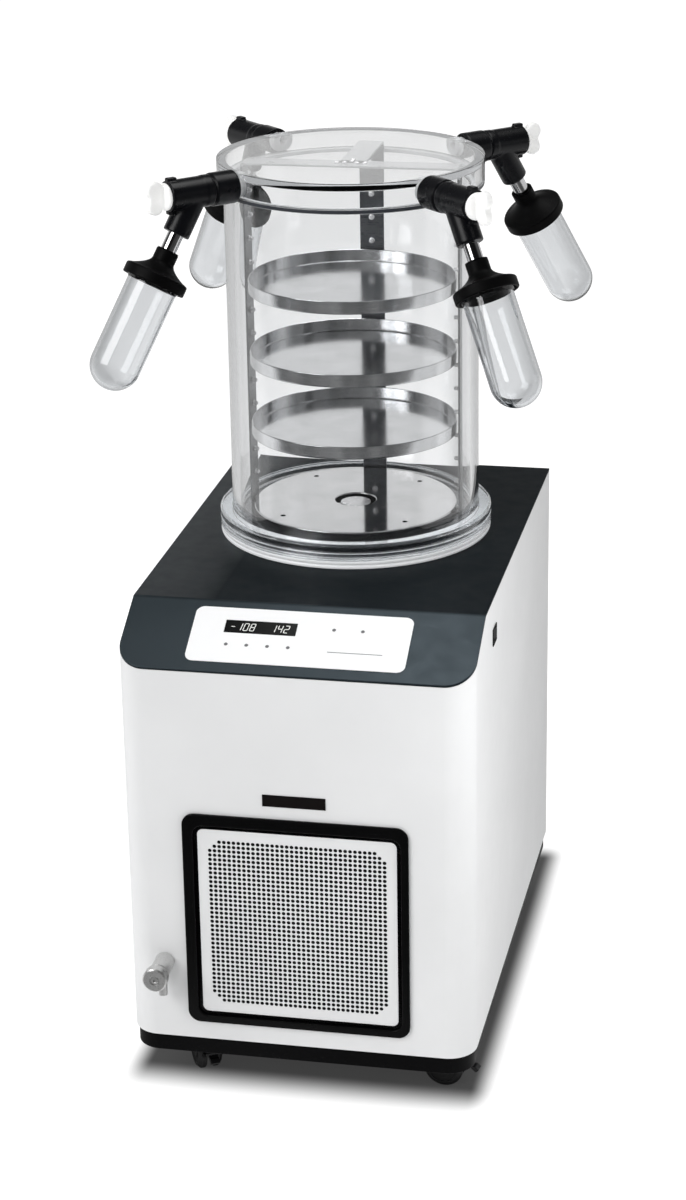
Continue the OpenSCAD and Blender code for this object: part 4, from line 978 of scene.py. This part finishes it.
# Drain valve at the front. In its own axes Z points out of the cabinet.
drainX, drainZ = middleOf("drain_knob").xz
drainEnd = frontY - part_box("drain_knob")[0].y
drain = {"stub": ((0, 0.0001), (0.0095, 0.0001), (0.0095, 0.026), (0.004, 0.026), (0.004, 0.023), (0, 0.023)),
         "spout": ((0.0028, 0.006), (0.0065, 0.006), (0.0065, 0.012), (0.0045, 0.012), (0.0045, 0.03),
                   (0.0028, 0.03), (0.0028, 0.006)), "spoutAt": 0.012, "stubEdge": 0.0005, "edge": 0.0004,
         "faceEdge": 0.0003,
         "neck": [(0, 0.0264), (0.008, 0.0264), (0.008, 0.0294)], "bell": 0.012, "bellRound": 0.003,
         "bellFrom": 0.0294, "rim": [(0.012, 1, -0.0013), (0.0107, 1, 0)],
         "face": ((0.0105, 1, 0), (0.0049, 1, 0), (0.0049, 1, -0.0014), (0.0038, 1, -0.0014),
                  (0.0034, 1, -0.0004), (0.0021, 1, -0.0003), (0.0017, 1, -0.0006), (0.0017, 1, -0.0024),
                  (0, 1, -0.0024))}
onDrain = at(drainX, frontY, drainZ) @ spun(90, "X")
downSpout = at(drainX, frontY - drain["spoutAt"], drainZ) @ Matrix.Rotation(math.pi, 4, "X")
stub = turned("stub", drain["stub"], portSteps, drain["stubEdge"])
spout = turned("spout", drain["spout"], 48, drain["edge"], 2)
drainBody = joined("drain_valve", [settle(keepOwnPlace(part), place)
                                   for part, place in ((stub, onDrain), (spout, downSpout))])
dress(drainBody, "drainSteel", "polished_steel", "drain_body", smooth=0)
bell, bellRound, bellFrom = drain["bell"], drain["bellRound"], drain["bellFrom"]
outline = drain["neck"] + [(bell - bellRound * (1 - math.cos(a)), bellFrom + bellRound * (1 - math.sin(a)))
                           for a in [math.pi / 2 * (1 - t / 6) for t in range(7)]]
outline += rowsAt(0, drainEnd, drain["rim"])
outline += rounded(rowsAt(0, drainEnd, drain["face"]), drain["faceEdge"], 2)
drainKnob = keepOwnPlace(turned("drain_turn_knob", outline, portSteps))
dress(drainKnob, "drainSteel", "polished_steel", "drain_knob", place=onDrain, smooth=30, body="drain_handle")
print("drain made")

# Trap pot with its collar, and the small baffle under the plate's hole
trap = {"rows": ((0, 0, 0), (0.098, 0, 0), (0.098, 1, -0.002), (0.1135, 1, -0.002), (0.1135, 1, -0.0199),
                 (0.1155, 1, -0.0199), (0.1155, 1, 0), (0.096, 1, 0), (0.096, 0, 0.002), (0, 0, 0.002)),
        "edge": 0.0014, "outlet": (0.012, 0.06, (axisX, axisY + 0.098, 0.42))}
low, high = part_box("cold_trap")
alongY = (math.radians(90), 0, 0)
trapPot = turned("trap_pot", rowsAt(low.z, high.z, trap["rows"]), chamberSteps, trap["edge"], 4)
settle(trapPot, onAxis)
cut(trapPot, rod("outlet", *trap["outlet"], alongY, 48))
dress(trapPot, "collarSteel", "brushed_steel", "cold_trap", smooth=0)

baffle = {"radius": 0.0152, "thick": 0.0012, "down": 0.0022, "arm": (0.009, 0.003, 0.001), "armOut": 0.0172,
          "edge": 0.0005, "turns": (200, 270, 340)}
baffleTop = plateTop - baffle["down"]
baffleLow = baffleTop - baffle["thick"]
parts = [puck("disc", baffle["radius"], baffleLow, baffleTop, smallSteps, baffle["edge"])]
for turn in baffle["turns"]:
    arm = block("arm", baffle["arm"], (baffle["armOut"], 0, baffleLow - baffle["arm"][2] / 2))
    parts.append(settle(arm, spun(turn)))
dress(joined("hole_baffle", parts), "pinSteel", "polished_steel", place=onAxis)

vacuum = {"rows": ((0.012, 0, 0), (0.014, 0, 0), (0.014, 1, -0.0063), (0.02, 1, -0.003), (0.02, 1, 0),
                   (0.0132, 1, 0), (0.0132, 1, -0.003), (0.012, 1, -0.003)), "edge": 0.0004}
low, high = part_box("vacuum_port")
pipe = turned("vacuum_pipe", rowsAt(0, high.y - low.y, vacuum["rows"]), 96, vacuum["edge"], 3, closed=True)
dress(pipe, "zincSteel", "polished_steel", "vacuum_port",
      place=at(axisX, low.y, (low.z + high.z) / 2) @ spun(-90, "X"))
print("trap made")

# Casters: a pair of wheels in its own axes, Z along the axle
caster = {"turns": (-60, -8, 70, 125), "edge": 0.0012, "axle": (0.003, 0.022),
          "outline": ((0, 0.004), (0.0192, 0.004), (0.02, 0.0048), (0.02, 0.0085), (0.0165, 0.012),
                      (0.014, 0.012), (0.014, 0.011), (0.008, 0.011), (0.008, 0.012), (0, 0.012))}
nearWheel = turned("near_wheel", caster["outline"], smallSteps, caster["edge"], 4)
farWheel = settle(copied(nearWheel), Matrix.Rotation(math.pi, 4, "X"))
wheelPair = joined("wheel_pair", [nearWheel, farWheel, rod("axle", *caster["axle"])])

# brake lever in its own axes: X outwards, Y along its pin, the pin's middle at the origin
pedal = {"barrel": (0.0034, 0.015), "pin": (0.0018, 0.0202), "bladeWide": 0.0095, "slope": 41,
         "blade": ((0, -0.0014), (0.0115, -0.0014), (0.0125, 0), (0.0125, 0.003), (0.0075, 0.003),
                   (0.006, 0.0014), (0, 0.0014)), "fromWheel": (0.024, 0, 0.006), "edge": 0.0004}
blade = slab("blade", pedal["blade"], pedal["bladeWide"])
settle(blade, spun(pedal["slope"], "Y") @ spun(-90))
barrel = rod("barrel", *pedal["barrel"], turn=alongY)
lever = joined("lever", [barrel, blade, rod("pin", *pedal["pin"], turn=alongY)])
softEdges(lever, pedal["edge"], 2)
for n, turn in enumerate(caster["turns"], 1):
    place = Matrix.Translation(middleOf(f"caster_wheels_{n}")) @ spun(turn)
    dress(copied(wheelPair, f"twin_wheels_{n}"), "treadGrey", "wheel_tread", f"caster_wheels_{n}",
          place=place @ spun(90, "X"), smooth=30, body=f"wheels_{n}")
    softNode(f"caster_hood_{n}", width=0.0005)
    if n < 3:
        dress(copied(lever, f"brake_lever_{n}"), "pedalGrey", "black_plastic", f"brake_pedal_{n}",
              place=place @ at(*pedal["fromWheel"]), smooth=30, body=f"pedal_{n}")
remove(wheelPair, lever)
softNode("power_rocker", width=0.0004)
softNode("power_inlet", width=0.0004)
print("casters made")

# Rear panel: crossed screws round the edge
backScrew = {"outline": ((0, 0), (0.0035, 0), (0.0035, 0.00072), (0.001925, 0.0018), (0, 0.0018)), "steps": 32,
             "edge": 0.0006}
cross = {"high": 0.0018, "slots": ((0.0046, 0.0008, 0.0008), (0.0008, 0.0046, 0.0008)), "sunk": 0.00005,
         "across": (-0.152, 0, 0.152), "up": (0.09, 0.28, 0.468), "none": (0, 0.28)}
oneScrew = turned("screw", **backScrew)
cut(oneScrew, *[block("slot", size, (0, 0, cross["high"])) for size in cross["slots"]])
screws = [settle(copied(oneScrew), at(x, backY + cross["sunk"], z) @ spun(-90, "X"), 30)
          for x in cross["across"] for z in cross["up"] if (x, z) != cross["none"]]
remove(oneScrew)
dress(joined("rear_screws", screws), "zincSteel", "zinc_steel", smooth=0)

# dark dust filter close behind the perforated panel
filterPlan = {"inset": 0.0045, "behind": 0.004, "thick": 0.002, "corner": 0.006}
dustFilter = blockBetween("dust_filter", panelLow, panelHigh, filterPlan["inset"], filterPlan["thick"],
                          panelHigh.y + filterPlan["behind"], filterPlan["corner"], 6)
dress(dustFilter, "foamDark", "dark_plastic")
print("rear and filter made")

# Camera, floor and light
view = {"place": (0.5585, -2.6893, 1.4781), "azimuth": 11.81, "elevation": 20.82, "roll": -0.99, "lens": 87.51,
        "sensor": 36.0}
azimuth, elevation, roll = (math.radians(view[key]) for key in ("azimuth", "elevation", "roll"))
backward = Vector((math.sin(azimuth) * math.cos(elevation), -math.cos(azimuth) * math.cos(elevation),
                   math.sin(elevation)))
sideways = Vector((0, 0, 1)).cross(backward).normalized()
upward = backward.cross(sideways)
across = sideways * math.cos(roll) + upward * math.sin(roll)
along = upward * math.cos(roll) - sideways * math.sin(roll)
clearPick()
bpy.ops.object.camera_add()
camera = bpy.context.object
camera.matrix_world = Matrix([*zip(across, along, backward, view["place"]), (0, 0, 0, 1)])
camera.data.lens = view["lens"]
camera.data.sensor_width = view["sensor"]
camera.data.clip_end = 60
scene = bpy.context.scene
scene.camera = camera
scene.view_settings.view_transform = "Standard"

studio = {"floorSize": 60, "floorColour": (0.95, 0.95, 0.95), "glow": 0.86, "shadowGlow": 0.042,
          "shadowTone": 0.12, "seenShare": 0.5, "ambient": 0.5, "ambientRight": 0.12, "backdrop": 1.0,
          "clearBackdrop": 0.92, "room": 0.07, "clearRoom": 0.26, "clearDark": (-0.5, 0.5), "floorSeen": 0.59,
          "darkFloor": 0.06, "clearFloor": 0.1, "floorDims": (-0.6, -0.3), "dark": (-0.4, 0.1),
          "clearAim": -0.21,
          "cards": ((0.0, 1.0), (0.15, 1.0), (0.25, 0.66), (0.6, 0.66), (0.8, 0.95)),
          "shine": ((0.0, 0.75), (0.24, 0.75), (0.31, 0.1), (0.75, 0.1), (0.92, 0.42)),
          "shadow": {"middle": -0.005, "side": (0.162, 0.191), "front": (-0.194, -0.256),
                     "back": (0.33, 0.37)}}


def toneRamp(owner, value, stops):
    node = addNode(owner, "ValToRGB", {0: value})
    ramp = node.color_ramp.elements
    while len(ramp) < len(stops):
        ramp.new(0.5)
    for stop, (place, bright) in zip(ramp, stops):
        stop.position, stop.color = place, (bright, bright, bright, 1)
    return node.outputs[0]


# dark cards on both sides of what clear pieces show, which line their edges
def sideCards(owner, way):
    apart = maths(owner, "ABSOLUTE", maths(owner, "SUBTRACT", way, studio["clearAim"]))
    return toneRamp(owner, apart, studio["cards"])


clearPick()
bpy.ops.mesh.primitive_plane_add(size=studio["floorSize"], location=(0, 0, -0.0005))
floor = named("studio_floor")
white = newFinish("floorWhite", studio["floorColour"], 0.9, Specular_IOR_Level=0.0)
place = addNode(white, "TexCoord", {}).outputs["Object"]
placeX, placeY = split(white, place)[:2]
rays = addNode(white, "LightPath", {}).outputs
forEye, forDiffuse = rays["Is Camera Ray"], rays["Is Diffuse Ray"]
# 1 in the shadow under the cabinet, 0 on the open floor
aside = maths(white, "ABSOLUTE", maths(white, "SUBTRACT", placeX, studio["shadow"]["middle"]))
inShadow = 1.0
for way, edge in ((aside, "side"), (placeY, "front"), (placeY, "back")):
    dark, light = studio["shadow"][edge]
    inShadow = maths(white, "MULTIPLY", spread(white, way, light, dark, kind="SMOOTHSTEP"), inShadow)
openFloor = maths(white, "SUBTRACT", 1.0, inShadow)
# white to the eye; mirrors and clear pieces see it dimmer, dark in front of the object, with side cards
plain = maths(white, "MAXIMUM", forEye, forDiffuse)
shade = spread(white, placeY, *studio["floorDims"], studio["darkFloor"], studio["floorSeen"])
shade = maths(white, "MAXIMUM", shade, plain)
shade = maths(white, "MULTIPLY_ADD", rays["Is Transmission Ray"], studio["clearFloor"], shade)
heading = addNode(white, "VectorMath", {0: place}, operation="NORMALIZE").outputs[0]
cards = maths(white, "MAXIMUM", sideCards(white, split(white, heading)[0]), plain)
shade = maths(white, "MULTIPLY", maths(white, "MINIMUM", shade, 1.0), cards)
deep = maths(white, "MULTIPLY", shade, spread(white, openFloor, 0, 1, studio["shadowTone"], 1))
deep = maths(white, "MULTIPLY", deep, spread(white, forEye, 0, 1, 1, studio["seenShare"]))
tone = addNode(white, "VectorMath", {0: studio["floorColour"], "Scale": deep}, operation="SCALE")
wire(white, tone.outputs[0], shaderOf(white).inputs["Base Color"])
glow = spread(white, openFloor, 0, 1, studio["shadowGlow"], studio["glow"])
glow = maths(white, "MULTIPLY", glow, maths(white, "SUBTRACT", 1.0, forDiffuse))
shaderOf(white).inputs["Emission Color"].default_value = (1, 1, 1, 1)
wire(white, maths(white, "MULTIPLY", glow, shade), shaderOf(white).inputs["Emission Strength"])
floor.data.materials.append(white)

# the world: even light for the object, a white backdrop behind it and a dimmer room in front of it
world = bpy.data.worlds.new("studioWorld")
scene.world = world
world.use_nodes = True
world.node_tree.nodes.clear()
rays = addNode(world, "LightPath", {}).outputs
wayX, wayY, wayZ = split(world, addNode(world, "TexCoord", {}).outputs["Generated"])


def graded(value, *ends):
    return spread(world, value, *ends, kind="SMOOTHSTEP")


def background(strength):
    return addNode(world, "Background", {"Color": (1, 1, 1, 1), "Strength": strength}).outputs[0]


# mirrored rays see a low bright band, dark above it and brighter overhead; clear pieces see a dim room
light = background(graded(wayX, -0.2, 1.0, studio["ambient"], studio["ambientRight"]))
shine = maths(world, "MULTIPLY", toneRamp(world, wayZ, studio["shine"]),
              graded(wayY, *studio["dark"], studio["room"], 1.0))
clearLight = graded(wayY, *studio["clearDark"], studio["clearRoom"], studio["clearBackdrop"])
clearLight = maths(world, "MULTIPLY", clearLight, sideCards(world, wayX))
for ray, strength in (("Is Glossy Ray", shine), ("Is Transmission Ray", clearLight),
                      ("Is Camera Ray", studio["backdrop"])):
    light = addNode(world, "MixShader", {0: rays[ray], 1: light, 2: background(strength)}).outputs[0]
wire(world, light, world.node_tree.nodes.new("ShaderNodeOutputWorld").inputs["Surface"])

lamps = {"keyLeft": {"place": (-2.2, -2.6, 2.6), "size": (2.4, 2.4), "power": 78, "mirrored": True},
         "fillRight": {"place": (0.6, -0.4, 0.52), "size": (0.35, 0.5), "power": 2.0, "mirrored": False},
         "above": {"place": (0.5, 0.4, 3.4), "size": (1.8, 1.8), "power": 29, "mirrored": True}}
target = Vector((0, 0, 0.45))
for name, lamp in lamps.items():
    clearPick()
    bpy.ops.object.light_add(type="AREA", location=lamp["place"])
    light = bpy.context.object
    light.name = name
    light.rotation_euler = (target - Vector(lamp["place"])).to_track_quat("-Z", "Y").to_euler()
    light.data.shape = "RECTANGLE"
    light.data.size, light.data.size_y = lamp["size"]
    light.data.energy = lamp["power"]
    light.visible_glossy = light.visible_transmission = lamp["mirrored"]
print("studio set")
